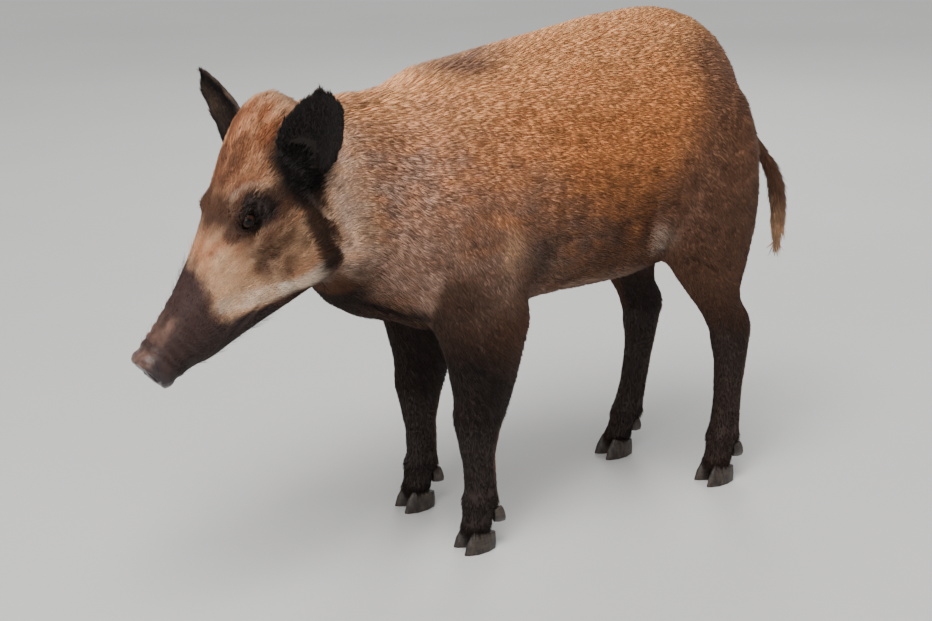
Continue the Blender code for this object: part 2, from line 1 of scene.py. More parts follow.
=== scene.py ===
# %% [markdown]
# # A young wild boar in its summer coat
#
# The boar stands still, with its weight on four feet and its long head low and a little to its
# left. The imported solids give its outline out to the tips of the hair. This lesson dresses them:
# one skin under all the flesh, a coat of solid tufts that grow out of it, the eyes with their
# lids, the nose disc and the claws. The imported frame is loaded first, and its box is kept.

# %% The frame
import json
import math

import bmesh
import bpy
import numpy as np
from mathutils import Matrix, Vector
from mathutils.bvhtree import BVHTree
from mathutils.kdtree import KDTree

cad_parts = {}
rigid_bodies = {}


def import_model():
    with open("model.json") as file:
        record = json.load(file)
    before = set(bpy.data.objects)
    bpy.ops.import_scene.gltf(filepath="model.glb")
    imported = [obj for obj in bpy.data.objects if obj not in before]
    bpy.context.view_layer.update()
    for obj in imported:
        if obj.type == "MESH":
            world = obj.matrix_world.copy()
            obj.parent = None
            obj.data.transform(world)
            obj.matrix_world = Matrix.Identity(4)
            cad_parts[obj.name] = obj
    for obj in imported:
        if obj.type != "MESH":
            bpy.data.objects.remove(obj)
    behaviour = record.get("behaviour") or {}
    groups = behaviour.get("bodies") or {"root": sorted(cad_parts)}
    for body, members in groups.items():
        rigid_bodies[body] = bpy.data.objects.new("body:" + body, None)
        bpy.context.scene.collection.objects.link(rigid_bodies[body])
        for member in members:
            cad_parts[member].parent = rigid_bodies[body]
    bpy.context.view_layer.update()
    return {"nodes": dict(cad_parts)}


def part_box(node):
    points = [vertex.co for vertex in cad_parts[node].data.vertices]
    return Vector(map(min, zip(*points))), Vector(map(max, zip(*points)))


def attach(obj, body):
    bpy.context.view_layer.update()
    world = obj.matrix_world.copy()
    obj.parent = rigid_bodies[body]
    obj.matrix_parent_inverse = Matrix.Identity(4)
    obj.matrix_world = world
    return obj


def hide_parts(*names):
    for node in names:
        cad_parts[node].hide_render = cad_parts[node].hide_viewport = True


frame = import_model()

NODES = frame["nodes"]
CLAWS = sorted(name for name in NODES if "claw" in name)
EYES = ["eye_left", "eye_right"]
FLESH = sorted(name for name in NODES if name not in CLAWS and name not in EYES)
print("flesh nodes:", len(FLESH), " claws:", len(CLAWS))

# %% [markdown]
# ## Where things are
#
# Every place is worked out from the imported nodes. The head has its own frame, because it hangs
# down and turns to one side: s runs from the nose back along the skull, y to the boar's right,
# and u up through the forehead. Its two turns are named here, and its origin, the middle of the
# nose, is found from the two eyes.

# %% The head's own frame
HEAD_YAW = math.radians(6)
HEAD_PITCH = math.radians(40)
EYE_BACK = 0.2037
EYE_UP = 0.0540


def box_middle(node):
    low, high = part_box(node)
    return np.array((low + high) / 2)


back = Vector((math.cos(HEAD_PITCH), 0, math.sin(HEAD_PITCH)))
back.rotate(Matrix.Rotation(HEAD_YAW, 3, "Z"))
side = Vector((-math.sin(HEAD_YAW), math.cos(HEAD_YAW), 0))
up = back.cross(side)
HEAD_AXES = np.array([back, side, up])
EYE_MIDDLES = {name: box_middle(name) for name in EYES}
between_eyes = sum(EYE_MIDDLES.values()) / 2
NOSE = between_eyes - np.array(back) * EYE_BACK - np.array(up) * EYE_UP


def in_head(points):
    return (points - NOSE) @ HEAD_AXES.T


def from_head(points):
    return np.asarray(points, float) @ HEAD_AXES + NOSE


EYE_PLACES = {name: in_head(middle) for name, middle in EYE_MIDDLES.items()}
EYE_RADIUS = (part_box("eye_left")[1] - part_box("eye_left")[0]).z / 2
print("nose at", NOSE.round(3), " eye places", {k: v.round(3) for k, v in EYE_PLACES.items()})

# %% [markdown]
# ## Soft sums over many points
#
# Skin and hair change smoothly from place to place. They could be shaped point by point in a
# loop, but the skin has tens of thousands of points, so whole arrays are worked on at once. A
# step that rises smoothly, a bump in space, a peak along one value, and a noise that wanders are
# the tools that the rest is made with.

# %% Steps, bumps, peaks and noise
HASH_FACTORS = (374761393, 668265263, 2147483647)
HASH_SEED, HASH_MIX = 144665, 1274126177


def step(low, high, value):
    t = np.clip((value - low) / (high - low), 0, 1)
    return t * t * (3 - 2 * t)


def bump(points, centre, radii):
    """One at the centre, fading to nothing at the edge of a ball with those radii."""
    away = np.linalg.norm((points - np.asarray(centre)) / np.asarray(radii), axis=1)
    return 1 - step(0, 1, away)


def peak(value, centre, width):
    """One where the value is at the centre, fading out on both sides over the width."""
    return np.exp(-(((value - centre) / width) ** 2))


def hashed(cell, seed):
    """A value from -1 to 1 for each cell of a grid, the same again for the same seed."""
    mixed = sum(cell[..., axis] * factor for axis, factor in enumerate(HASH_FACTORS))
    mixed = (mixed + seed * HASH_SEED) & 0xFFFFFFFF
    mixed = ((mixed ^ (mixed >> 13)) * HASH_MIX) & 0xFFFFFFFF
    return ((mixed ^ (mixed >> 16)) & 0xFFFF) / 32767.5 - 1


def noise(points, size, seed=0):
    """Smooth noise from -1 to 1 that changes over the given size, in metres."""
    place = np.asarray(points) / size + 1000
    cell = np.floor(place).astype(np.int64)
    part = place - cell
    part = part * part * (3 - 2 * part)
    total = np.zeros(len(place))
    for corner in np.ndindex(2, 2, 2):
        weight = np.prod(np.where(corner, part, 1 - part), axis=1)
        total += weight * hashed(cell + np.array(corner), seed)
    return total


def unit(vectors):
    return vectors / np.maximum(np.linalg.norm(vectors, axis=1, keepdims=True), 1e-9)


print("a step at its middle:", step(0, 1, np.array([0.5])), " a peak at its width:", peak(1, 0, 1))

# %% [markdown]
# ## Reading, writing and relaxing a mesh
#
# Blender can hand over a mesh's points all at once as one long row of numbers, which is far
# quicker than asking each point. Relaxing moves every value a little towards the mean of its
# neighbours along the edges. It does for a whole sheet of skin what a smoothing brush does.

# %% Meshes as arrays
def read(mesh, kind):
    """The points, normals or edges of a mesh as an array."""
    sources = {
        "points": (mesh.vertices, "co", 3, np.float32),
        "normals": (mesh.vertex_normals, "vector", 3, np.float32),
        "edges": (mesh.edges, "vertices", 2, np.int32),
    }
    data, name, width, number = sources[kind]
    values = np.zeros(len(data) * width, number)
    data.foreach_get(name, values)
    return values.reshape(-1, width).astype(float if number is np.float32 else np.int64)


def triangles_of(mesh):
    mesh.calc_loop_triangles()
    values = np.zeros(len(mesh.loop_triangles) * 3, np.int32)
    mesh.loop_triangles.foreach_get("vertices", values)
    return values.reshape(-1, 3).astype(np.int64)


def write_points(mesh, points):
    mesh.vertices.foreach_set("co", points.astype(np.float32).ravel())
    mesh.update()


class Web:
    """The edges of a mesh, for relaxing any value over its points."""

    def __init__(self, mesh):
        self.edges = read(mesh, "edges")
        self.count = len(mesh.vertices)
        self.share = np.bincount(self.edges.ravel(), minlength=self.count)[:, None]

    def mean(self, values):
        one, other = self.edges.T
        summed = np.zeros_like(values)
        for column in range(values.shape[1]):
            summed[:, column] = np.bincount(one, values[other, column], self.count)
            summed[:, column] += np.bincount(other, values[one, column], self.count)
        return summed / np.maximum(self.share, 1)

    def relax(self, values, passes, amount=0.5, regrow=0.0):
        """Blends each value with its neighbours' mean; regrow undoes the shrinking of a shape."""
        flat = values.ndim == 1
        values = values[:, None] if flat else values
        for _ in range(passes):
            values = values + (self.mean(values) - values) * amount
            if regrow:
                values = values - (self.mean(values) - values) * regrow
        return values[:, 0] if flat else values


print("points of the packed trunk:", len(read(NODES["trunk"].data, "points")))

# %% [markdown]
# ## The skin's first shape
#
# On the animal the skin is one sheet from nose to tail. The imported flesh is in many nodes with
# hair-thin cuts between them, so each is copied, its loose triangles are merged, and it is
# swollen by 0.6 mm so that it runs into its neighbours. A voxel remesh then melts
# the copies into one closed skin of even squares, and relaxing it takes the facets away. The
# eyes are melted in as well, so that there is skin over them from which to make the lids.

# %% One skin from the flesh
VOXEL = 0.0048
SWELL = 0.0006
KEEPING_SHAPE = {"amount": 0.5, "regrow": 0.52}


def melted(nodes, voxel):
    whole = bmesh.new()
    for name in nodes:
        part = bmesh.new()
        part.from_mesh(NODES[name].data)
        bmesh.ops.remove_doubles(part, verts=part.verts, dist=1e-5)
        for vert in part.verts:
            vert.co += vert.normal * SWELL
        mesh = bpy.data.meshes.new(name + "_copy")
        part.to_mesh(mesh)
        part.free()
        whole.from_mesh(mesh)
        bpy.data.meshes.remove(mesh)
    mesh = bpy.data.meshes.new("melted")
    whole.to_mesh(mesh)
    whole.free()
    helper = bpy.data.objects.new("melted", mesh)
    bpy.context.scene.collection.objects.link(helper)
    remesh = helper.modifiers.new("melt", "REMESH")
    remesh.mode = "VOXEL"
    remesh.voxel_size = voxel
    graph = bpy.context.evaluated_depsgraph_get()
    result = bpy.data.meshes.new_from_object(helper.evaluated_get(graph))
    bpy.data.objects.remove(helper)
    return result


skin_mesh = melted(FLESH + EYES, VOXEL)
web = Web(skin_mesh)
points = web.relax(read(skin_mesh, "points"), 14, **KEEPING_SHAPE)
write_points(skin_mesh, points)
print("points of the melted skin:", len(points))

# %% [markdown]
# ## More points where the face is
#
# Lids, nostrils and lips are a few millimetres across, finer than the squares of the melted
# skin. Smaller squares all over would cost points on the flanks that show nothing, so only the
# edges near the face, the eyes and the nose are cut in half, the lids' edges twice more.

# %% Finer squares on the face
def finer(mesh, zones):
    """Cuts every edge in the zones in half, for more detail there."""
    bm = bmesh.new()
    bm.from_mesh(mesh)
    points = in_head(np.array([vert.co for vert in bm.verts]))
    wanted = np.zeros(len(points), bool)
    for centre, radii in zones:
        wanted |= np.linalg.norm((points - np.array(centre)) / np.array(radii), axis=1) < 1
    edges = [e for e in bm.edges if wanted[e.verts[0].index] and wanted[e.verts[1].index]]
    bmesh.ops.subdivide_edges(bm, edges=edges, cuts=1, use_grid_fill=True)
    bm.to_mesh(mesh)
    bm.free()


FACE_ZONE = [((0.10, 0, 0.0), (0.18, 0.12, 0.13))]
EYE_ZONES = [(place, (0.030, 0.024, 0.026)) for place in EYE_PLACES.values()]
LID_ZONES = [(place, (0.019, 0.019, 0.019)) for place in EYE_PLACES.values()]
NOSE_ZONE = [((0.0, 0, 0.0), (0.045, 0.05, 0.055))]
finer(skin_mesh, FACE_ZONE)
finer(skin_mesh, EYE_ZONES + NOSE_ZONE)
finer(skin_mesh, LID_ZONES)
print("skin points:", len(skin_mesh.vertices), " triangles:", len(triangles_of(skin_mesh)))

# %% [markdown]
# ## Which part of the body a point belongs to
#
# Coat, colour and depth all change from part to part, but never at a line. Each skin point
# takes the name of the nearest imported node, and these names are then relaxed over the mesh
# until they fade into each other. Everything that follows is a blend with these shares.

# %% Shares of the body's parts
PARTS = {
    "muzzle": ["nose_disc"],
    "head": ["head", "lower_jaw"],
    "ear": ["ear_left", "ear_right"],
    "neck": ["neck"],
    "trunk": ["trunk"],
    "upper": [name for name in FLESH if name.endswith("_upper")],
    "lower": [name for name in FLESH if name.endswith("_lower")],
    "dock": ["tail_dock"],
    "tassel": ["tail_tassel"],
}
PART_OF = {node: part for part, nodes in PARTS.items() for node in nodes}
FADE, EAR_FADE = 30, 8


def flesh_tree():
    corners, faces, owners = [], [], []
    for name in FLESH:
        mesh = NODES[name].data
        offset = len(corners)
        corners.extend(v.co for v in mesh.vertices)
        faces.extend([offset + i for i in f.vertices] for f in mesh.polygons)
        owners.extend([name] * len(mesh.polygons))
    return BVHTree.FromPolygons(corners, faces), owners


tree, owners = flesh_tree()
web = Web(skin_mesh)
points = web.relax(read(skin_mesh, "points"), 4, **KEEPING_SHAPE)
write_points(skin_mesh, points)
nearest = [owners[tree.find_nearest(Vector(p))[2]] for p in points]
nearest_part = np.array([PART_OF[name] for name in nearest])
share = {}
for part in PARTS:
    mine = (nearest_part == part).astype(float)
    share[part] = web.relax(mine, EAR_FADE if part == "ear" else FADE)
total = sum(share.values())
for part in PARTS:
    share[part] = share[part] / total
print({part: round(float(values.mean()), 3) for part, values in share.items()})

# %% [markdown]
# ## Forms under the coat
#
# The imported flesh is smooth. On the animal the shoulder blade and the elbow stand out, the
# skin folds in front of the thigh, and the snout is a bare disc on a wrinkled stalk. A sculptor
# would press these in with a brush; here each stroke is a bump with a place, a size and a
# depth, pushed in along the skin's own normals. The first strokes are the body's.

# %% Strokes on the body
def normals_of(mesh, places):
    write_points(mesh, places)
    return read(mesh, "normals")


def pressed(places, towards, strokes):
    """Moves the skin along its normals: each stroke is a centre, radii and a height."""
    height = np.zeros(len(places))
    for centre, radii, amount in strokes:
        height += bump(places, centre, radii) * amount
    return places + towards * height[:, None]


normals = normals_of(skin_mesh, points)
body_strokes = []
for leg, flank in (("left", -1), ("right", 1)):
    fore = box_middle(f"foreleg_{leg}_upper")
    hind = box_middle(f"hindleg_{leg}_upper")
    outer = flank * 0.115
    body_strokes += [
        ((fore[0] + 0.088, outer, 0.335), (0.030, 0.09, 0.085), -0.0075),
        ((fore[0] + 0.075, outer, 0.430), (0.040, 0.09, 0.080), -0.0035),
        ((fore[0] + 0.020, outer, 0.400), (0.050, 0.09, 0.075), 0.0030),
        ((fore[0] - 0.030, outer, 0.470), (0.050, 0.09, 0.100), 0.0024),
        ((fore[0] + 0.060, outer, 0.300), (0.026, 0.06, 0.030), 0.0030),
        ((hind[0] - 0.098, outer, 0.400), (0.030, 0.09, 0.100), -0.0080),
        ((hind[0] - 0.135, outer, 0.330), (0.040, 0.09, 0.035), -0.0045),
        ((hind[0] - 0.030, outer, 0.420), (0.060, 0.09, 0.100), 0.0030),
        ((hind[0] + 0.020, outer, 0.560), (0.040, 0.08, 0.035), 0.0025),
        ((hind[0] + 0.055, outer * 0.8, 0.270), (0.018, 0.05, 0.045), -0.0030),
    ]
    for rib in range(5):
        place = (0.02 + 0.032 * rib, outer, 0.42 - 0.004 * rib)
        body_strokes.append((place, (0.011, 0.09, 0.090), 0.0012))
points = pressed(points, normals, body_strokes)
print("strokes on the body:", len(body_strokes))

# %% [markdown]
# ## Knees, tendons and pasterns
#
# Below the elbow a leg is bone and tendon under thin skin. The knee stands forward, a groove
# parts the tendon from the bone, and the pastern narrows over the claws, with a swelling
# where the dewclaws leave it. The legs bend, so a form at a fixed place would miss them: each is
# placed by its height and by how far a point is ahead of the leg's own curved middle line.

# %% Forms of the lower legs
KNEE_UP, HOCK_UP, PASTERN_UP, DEWCLAW_UP = 0.178, 0.196, 0.043, 0.066
for leg in [name[:-6] for name in FLESH if name.endswith("_lower")]:
    mine = np.array([name.startswith(leg) for name in nearest]) & (points[:, 2] < 0.27)
    x, y, z = points[mine].T
    fore = leg.startswith("fore")
    ahead = x - np.polyval(np.polyfit(z, x, 4), z)
    beside = np.abs(y - np.polyval(np.polyfit(z, y, 2), z))
    groove = peak(ahead, 0.006, 0.0055) * step(0.004, 0.012, beside)
    shank = step(0.070, 0.085, z) * step(0.165, 0.135, z)
    knee = peak(z, KNEE_UP if fore else HOCK_UP, 0.020)
    pastern = peak(z, PASTERN_UP, 0.012) * step(0.006, -0.010, ahead)
    height = -0.0030 * groove * shank - 0.0016 * pastern
    height += knee * (0.0022 if fore else 0.0012) * step(0.004, -0.012, ahead)
    height += 0.0018 * peak(z, DEWCLAW_UP, 0.010) * step(0.0, 0.012, beside)
    points[mine] += normals[mine] * height[:, None]
    print(leg, "points shaped:", int(mine.sum()))

# %% [markdown]
# ## Neck and thighs run into the trunk
#
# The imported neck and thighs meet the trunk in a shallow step. On the animal muscle runs across
# these joins. Filling them by hand would take many strokes, so the skin is relaxed strongly and
# the softer copy is blended in only near the joins.

# %% Softer joins
JOIN_PASSES = 70
NECK_JOIN, THIGH_JOIN = -0.155, 0.19
near_neck = peak(points[:, 0], NECK_JOIN, 0.045) * step(0.24, 0.34, points[:, 2])
near_thigh = peak(points[:, 0], THIGH_JOIN, 0.040) * step(0.36, 0.44, points[:, 2])
softer = web.relax(points, JOIN_PASSES)
points = points + (softer - points) * np.clip(near_neck + near_thigh * 0.6, 0, 1)[:, None]
print("points softened at the joins:", int((near_neck + near_thigh > 0.1).sum()))

# %% [markdown]
# ## The snout
#
# The disc is a rounded plate with a raised rim and two nostrils that open outwards in a comma.
# It could be a piece of its own, but on the animal it is one with the skin of the snout, so it
# is pressed into that skin. These strokes are written in the head's own frame.

# %% The disc and the nostrils
DISC_TOP, DISC_BOTTOM, DISC_HALF = 0.030, -0.027, 0.030
MOUTH_CORNER, MOUTH_UP, MOUTH_FALL = 0.146, -0.0290, math.tan(math.radians(2))
head_place = in_head(points)
s, y, u = head_place.T
moved = np.zeros_like(points)

# how far a point is from the disc's middle, one at its rim
disc_middle = (DISC_TOP + DISC_BOTTOM) / 2
round_disc = np.hypot(y / DISC_HALF, (u - disc_middle) / ((DISC_TOP - DISC_BOTTOM) / 2))
front = 1 - step(0.012, 0.030, s)
rim = peak(round_disc, 0.86, 0.13) * front
moved[:, 0] -= rim * 0.0020
moved[:, 0] += peak(round_disc, 0, 0.35) * front * 0.0012
for flank in (-1, 1):
    pit = bump(head_place, (0.004, flank * 0.0125, 0.0015), (0.030, 0.0078, 0.0105))
    comma = bump(head_place, (0.004, flank * 0.0205, -0.0035), (0.024, 0.0080, 0.0045))
    lip_of_pit = bump(head_place, (0.002, flank * 0.0125, 0.0095), (0.020, 0.0100, 0.0050))
    moved[:, 0] += np.minimum(pit * 1.7, 1) * 0.013 + comma * 0.0045
    moved[:, 0] -= lip_of_pit * 0.0015
    moved[:, 1] += flank * pit * 0.0012
print("deepest point of the nostrils, mm:", (moved[:, 0].max() * 1000).round(1))

# %% [markdown]
# ## Wrinkles of the snout
#
# The snout narrows behind the disc, and where it bends the skin gathers in wrinkles over its
# top and sides. Each is a shallow groove round the snout, shallower the further back it lies,
# and a noise makes its course uneven, as skin folds are.

# %% Wrinkles
WRINKLES_BACK = (0.036, 0.047, 0.060, 0.075, 0.092)
normals = normals_of(skin_mesh, points)
in_head_normals = normals @ HEAD_AXES.T
upper_side = step(-0.55, 0.35, in_head_normals[:, 2])
neck_of_disc = peak(s, 0.0235, 0.0050) * 0.0022
crease = np.zeros(len(s))
for row, place in enumerate(WRINKLES_BACK):
    bend = 0.10 * np.abs(y) + 0.0016 * noise(head_place, 0.012, 30 + row)
    crease += peak(s - place + bend, 0, 0.0028) * (0.0013 - 0.00018 * row)
inward = neck_of_disc + crease * upper_side * (1 - step(0.030, 0.05, np.abs(y)))
print("wrinkles:", len(WRINKLES_BACK), " deepest, mm:", (crease.max() * 1000).round(2))

# %% [markdown]
# ## The mouth
#
# The shut mouth shows as one crease that runs back under the muzzle, with the upper lip
# rolled over it and the lower lip under it. It is pressed into the skin as a narrow groove
# between two low ridges, and it ends in a small dent at the corner.

# %% The crease of the mouth
mouth_line = MOUTH_UP - (MOUTH_CORNER - s) * MOUTH_FALL
along_mouth = step(0.018, 0.032, s) * (1 - step(MOUTH_CORNER - 0.012, MOUTH_CORNER + 0.004, s))
off_line = u - mouth_line
beside = step(0.006, 0.014, np.abs(y) + 0.010 * (1 - step(0.02, 0.05, s)))
off_line = off_line + 0.0014 * noise(head_place, 0.020, 21)
inward += peak(off_line, 0, 0.0019) * along_mouth * beside * 0.0026
inward -= peak(off_line, 0.0060, 0.0046) * along_mouth * beside * 0.0014
inward -= peak(off_line, -0.0062, 0.0044) * along_mouth * beside * 0.0010
inward += bump(head_place, (MOUTH_CORNER + 0.006, 0, MOUTH_UP), (0.016, 0.09, 0.010)) * 0.0018
print("points in the mouth's crease:", int((peak(off_line, 0, 0.0019) * along_mouth > 0.5).sum()))

# %% [markdown]
# ## The bones of the face
#
# A hollow lies in front of the eye, the cheekbone under it, the muscle of the jaw behind, and
# the brow over it. The two sides are alike, so each form is written once for the right side,
# and the points of the left side are mirrored before they are measured.

# %% Cheek, jaw and brow
forms = (
    ((0.152, 0.032, 0.026), (0.045, 0.030, 0.020), -0.0028),
    ((0.210, 0.055, 0.028), (0.040, 0.030, 0.011), 0.0024),
    ((0.200, 0.060, -0.030), (0.046, 0.040, 0.040), 0.0026),
    ((0.187, 0.040, 0.034), (0.022, 0.030, 0.008), -0.0022),
    ((0.250, 0.052, 0.058), (0.020, 0.030, 0.014), -0.0026),
    ((0.203, 0.040, 0.076), (0.030, 0.022, 0.010), 0.0026),
    ((0.110, 0.028, 0.024), (0.060, 0.014, 0.012), 0.0018),
    ((0.120, 0.000, 0.050), (0.080, 0.012, 0.030), 0.0012),
    ((0.110, 0.034, 0.000), (0.045, 0.020, 0.012), -0.0014),
    ((0.262, 0.060, 0.004), (0.012, 0.040, 0.040), -0.0034),
    ((0.246, 0.055, -0.040), (0.012, 0.040, 0.040), -0.0034),
)
mirrored = head_place * np.array([1, 0, 1]) + np.abs(y)[:, None] * np.array([0, 1, 0])
for centre, radii, amount in forms:
    inward -= bump(mirrored, centre, radii) * amount
head_share = np.exp(-np.maximum(s - 0.30, 0) / 0.03)
moved = moved + in_head_normals * -inward[:, None]
points = from_head(head_place + moved * head_share[:, None])
print("forms of the face:", len(forms))

# %% [markdown]
# ## Eyelids
#
# The lids are skin drawn over the ball. Inside an almond-shaped opening the skin is pushed back
# behind the front of the eye; round it the skin is laid on a ball a little larger than the
# eye, and blended into the face. Points near the opening are drawn onto its edge, so the rim
# of the lid is a clean line, and two creases follow it.

# %% Lids
LID = 0.0013
INSIDE, LID_EDGE = 0.72, 1.06
OPEN_LENGTH, OPEN_TOP, OPEN_BOTTOM = 0.0098, 0.0060, 0.0050
EYE_FRAMES = {}
eye_opening = np.full(len(points), 9.0)
for name, place in EYE_PLACES.items():
    flank = np.sign(place[1])
    out = Vector((-0.30, flank * 0.90, 0.22)).normalized()
    along = Vector((1.0, flank * 0.30, 0.16))
    along = (along - out * along.dot(out)).normalized()
    above = out.cross(along) * -flank
    EYE_FRAMES[name] = np.array([along, above, out])
    local = (in_head(points) - place) @ EYE_FRAMES[name].T
    a, b, c = local.T
    span = np.where(b > 0, OPEN_TOP, OPEN_BOTTOM)
    slant = b - 0.0010 * np.sin(a / OPEN_LENGTH * 1.6)
    almond = (np.abs(a) / OPEN_LENGTH) ** 2.0 + (np.abs(slant) / span) ** 1.7
    almond = almond ** 0.53
    off = np.hypot(a, b)
    near = (c > 0) & (off < EYE_RADIUS * 2.2)
    drawn = near & (almond > INSIDE) & (almond < LID_EDGE)
    outwards = np.where(drawn, LID_EDGE / np.maximum(almond, 0.1), 1.0)
    a, b = a * outwards, b * outwards
    off = np.hypot(a, b)
    ball = EYE_RADIUS + LID
    over_ball = np.sqrt(np.maximum(ball**2 - off**2, (0.30 * ball) ** 2))
    on_lid = 1 - step(EYE_RADIUS * 0.80, EYE_RADIUS * 1.75, off)
    folds = peak(almond, 1.75, 0.16) * 0.0010
    folds += peak(almond, 2.5, 0.20) * 0.0006 * (b < 0)
    rim_of_lid = peak(almond, 1.16, 0.14) * 0.0006
    height = c + (over_ball - c) * on_lid
    height = height - folds + rim_of_lid
    inside = near & (almond <= INSIDE)
    height = np.where(inside, EYE_RADIUS * 0.30, height)
    near = near & (off < EYE_RADIUS * 1.9)
    local = np.where(near[:, None], np.stack([a, b, height], axis=1), local)
    points = from_head(local @ EYE_FRAMES[name] + place)
    eye_opening = np.where(near, np.minimum(eye_opening, almond), eye_opening)
print("points drawn onto a lid's edge:", int((np.abs(eye_opening - 0.9) < 0.17).sum()))

# %% [markdown]
# ## How the coat grows
#
# A boar's hair is longest on the tail's tassel and along the mane, long on the cheeks, flat on
# the flanks, short on the legs and ears, and shortest on the snout. It could be combed by
# hand, but a table can be read and changed: it holds the length and width of a tuft, how
# steeply it leaves the skin in degrees, and how many grow on a square centimetre.

# %% The coat's table
#            length   width   lift  per cm2
COAT = {
    "muzzle": (0.0030, 0.0009, 16, 40),
    "head": (0.0085, 0.0013, 15, 35),
    "ear": (0.0100, 0.0012, 13, 62),
    "neck": (0.0220, 0.0021, 17, 24),
    "trunk": (0.0175, 0.0020, 14, 21),
    "upper": (0.0150, 0.0018, 13, 24),
    "lower": (0.0095, 0.0014, 12, 42),
    "dock": (0.0110, 0.0013, 13, 50),
    "tassel": (0.0320, 0.0015, 14, 60),
}


def blended(column):
    return sum(share[part] * COAT[part][column] for part in PARTS)


head_place = in_head(points)
normals = normals_of(skin_mesh, points)
length = blended(0)
width = blended(1)
lift = np.radians(blended(2))
density = blended(3) * 1e4
on_head = share["head"] + share["muzzle"]
print("tufts on a square centimetre:", (density.min() / 1e4).round(1), "to", (density.max() / 1e4).round(1))

# %% [markdown]
# ## Long hair and short hair
#
# Within a part the hair changes too. On the head it grows longer from the snout back to the
# cheeks and the crown, the mane runs from there to the middle of the back, the belly's hangs a
# little longer, and a fringe falls over the claws and the dewclaws. Each is added as a soft
# patch, so that no edge shows between long and short.

# %% Cheeks, mane, belly and fringes
backward = step(0.05, 0.30, head_place[:, 0])
length = length * (1 - on_head) + on_head * (0.0044 + 0.0080 * backward)
width = width - on_head * 0.0003 * (1 - backward)
cheek = on_head * bump(head_place, (0.250, 0, -0.055), (0.095, 0.13, 0.070))
crown = on_head * bump(head_place, (0.30, 0, 0.12), (0.10, 0.10, 0.07))
length = length + cheek * 0.012 + crown * 0.006
width = width + (cheek + crown) * 0.0005
ridge = step(0.72, 0.95, normals[:, 2]) * (share["neck"] + share["trunk"])
mane = ridge * (1 - step(-0.15, 0.22, points[:, 0]))
length = length + mane * 0.011
belly = share["trunk"] * step(0.55, 0.9, -normals[:, 2])
length = length + belly * 0.005
fringe = share["lower"] * step(0.055, 0.032, points[:, 2])
spur = share["lower"] * peak(points[:, 2], DEWCLAW_UP, 0.014) * step(0.2, 0.7, normals[:, 0])
length = length + fringe * 0.006 + spur * 0.009
density = density * (1 + 0.7 * on_head * (1 - backward))
print("hair, mm:", (length.min() * 1000).round(1), "to", (length.max() * 1000).round(1))

# %% [markdown]
# ## Bare skin, and room for the coat
#
# No hair grows on the disc, in the mouth's crease or inside the lids. Elsewhere the coat's tips
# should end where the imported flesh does. So the skin goes in by the depth of the coat there,
# which follows from how long the hair is and how steeply it stands.

# %% Bare places and the coat's depth
DEPTH_OF_LIFT, LEAST_DEPTH = 0.62, 0.0003
bare = step(0.030, 0.018, head_place[:, 0] + 0.05 * np.maximum(round_disc - 1.1, 0) * (s < 0.03))
bare = np.maximum(bare, step(1.35, 1.10, eye_opening))
mouth_skin = peak(off_line, 0, 0.0024) * along_mouth * beside * 0.8
bare = np.maximum(bare, np.minimum(mouth_skin * 1.4, 1))
density = density * (1 - bare)
depth = length * np.sin(lift) * DEPTH_OF_LIFT * (1 - bare)
depth = np.maximum(web.relax(depth, 20), LEAST_DEPTH)
body_points = points - normals * depth[:, None]
print("coat depth, mm:", (depth.min() * 1000).round(1), "to", (depth.max() * 1000).round(1))

# %% [markdown]
# ## Which way the hair lies
#
# Hair lies away from the nose: back over the face and along the spine, down and back over the
# flanks, straight down the legs, and out along the ears and the tail. Each part's direction is
# written down once, laid flat on the skin, and relaxed so that the streams run together.

# %% The lie of the coat
EAR_ROOT = (0.302, 0.060, 0.055)
ear_ways = {}
for name, flank in (("ear_left", -1), ("ear_right", 1)):
    low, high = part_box(name)
    root = from_head(np.array(EAR_ROOT) * (1, flank, 1))
    tip = np.array([(low.x + high.x) / 2, (low.y + high.y) / 2, high.z])
    ear_ways[name] = unit((tip - root)[None])[0]
head_way = np.tile(HEAD_AXES[0], (len(points), 1))
head_way = head_way - HEAD_AXES[2] * step(-0.02, 0.10, -head_place[:, 2] + 0.03)[:, None] * 0.45
trunk_way = np.tile([1.0, 0.0, -0.30], (len(points), 1))
trunk_way[:, 2] -= 0.35 * step(0.25, 0.45, 0.65 - points[:, 2])
WAYS = {
    "neck": (1.0, 0.0, -0.55),
    "trunk": trunk_way,
    "upper": (0.55, 0.0, -1.0),
    "lower": (0.12, 0.0, -1.0),
    "dock": (0.45, 0.0, -1.0),
    "tassel": (0.10, 0.0, -1.0),
}
way = on_head[:, None] * head_way
for part, direction in WAYS.items():
    way += share[part][:, None] * np.array(direction)
for name, direction in ear_ways.items():
    mine = np.array([owner == name for owner in nearest])
    way += (share["ear"] * mine)[:, None] * direction


def laid_flat(vectors, across):
    return unit(vectors - across * np.sum(vectors * across, axis=1, keepdims=True))


way = laid_flat(way, normals)
way = laid_flat(web.relax(way, 12), normals)
print("ears grow along", {name: direction.round(2) for name, direction in ear_ways.items()})

# %% [markdown]
# ## The colours of the coat
#
# In its summer coat the young boar is a warm reddish tan. Its snout, legs and ears are nearly
# black, a pale streak runs along the cheek, and the neck is grizzled. The colour could be
# painted on a picture and wrapped round the body. Here it is worked out from the place alone,
# and both the skin and every tuft ask the same function, so the markings agree however the
# hair is parted. First come the paints and the brushes that lay them on.

# %% Paints and brushes
def linear(red, green, blue):
    """A colour as it is seen, 0 to 255, made linear for the shader."""
    seen = np.array([red, green, blue]) / 255
    return np.where(seen <= 0.04045, seen / 12.92, ((seen + 0.055) / 1.055) ** 2.4)


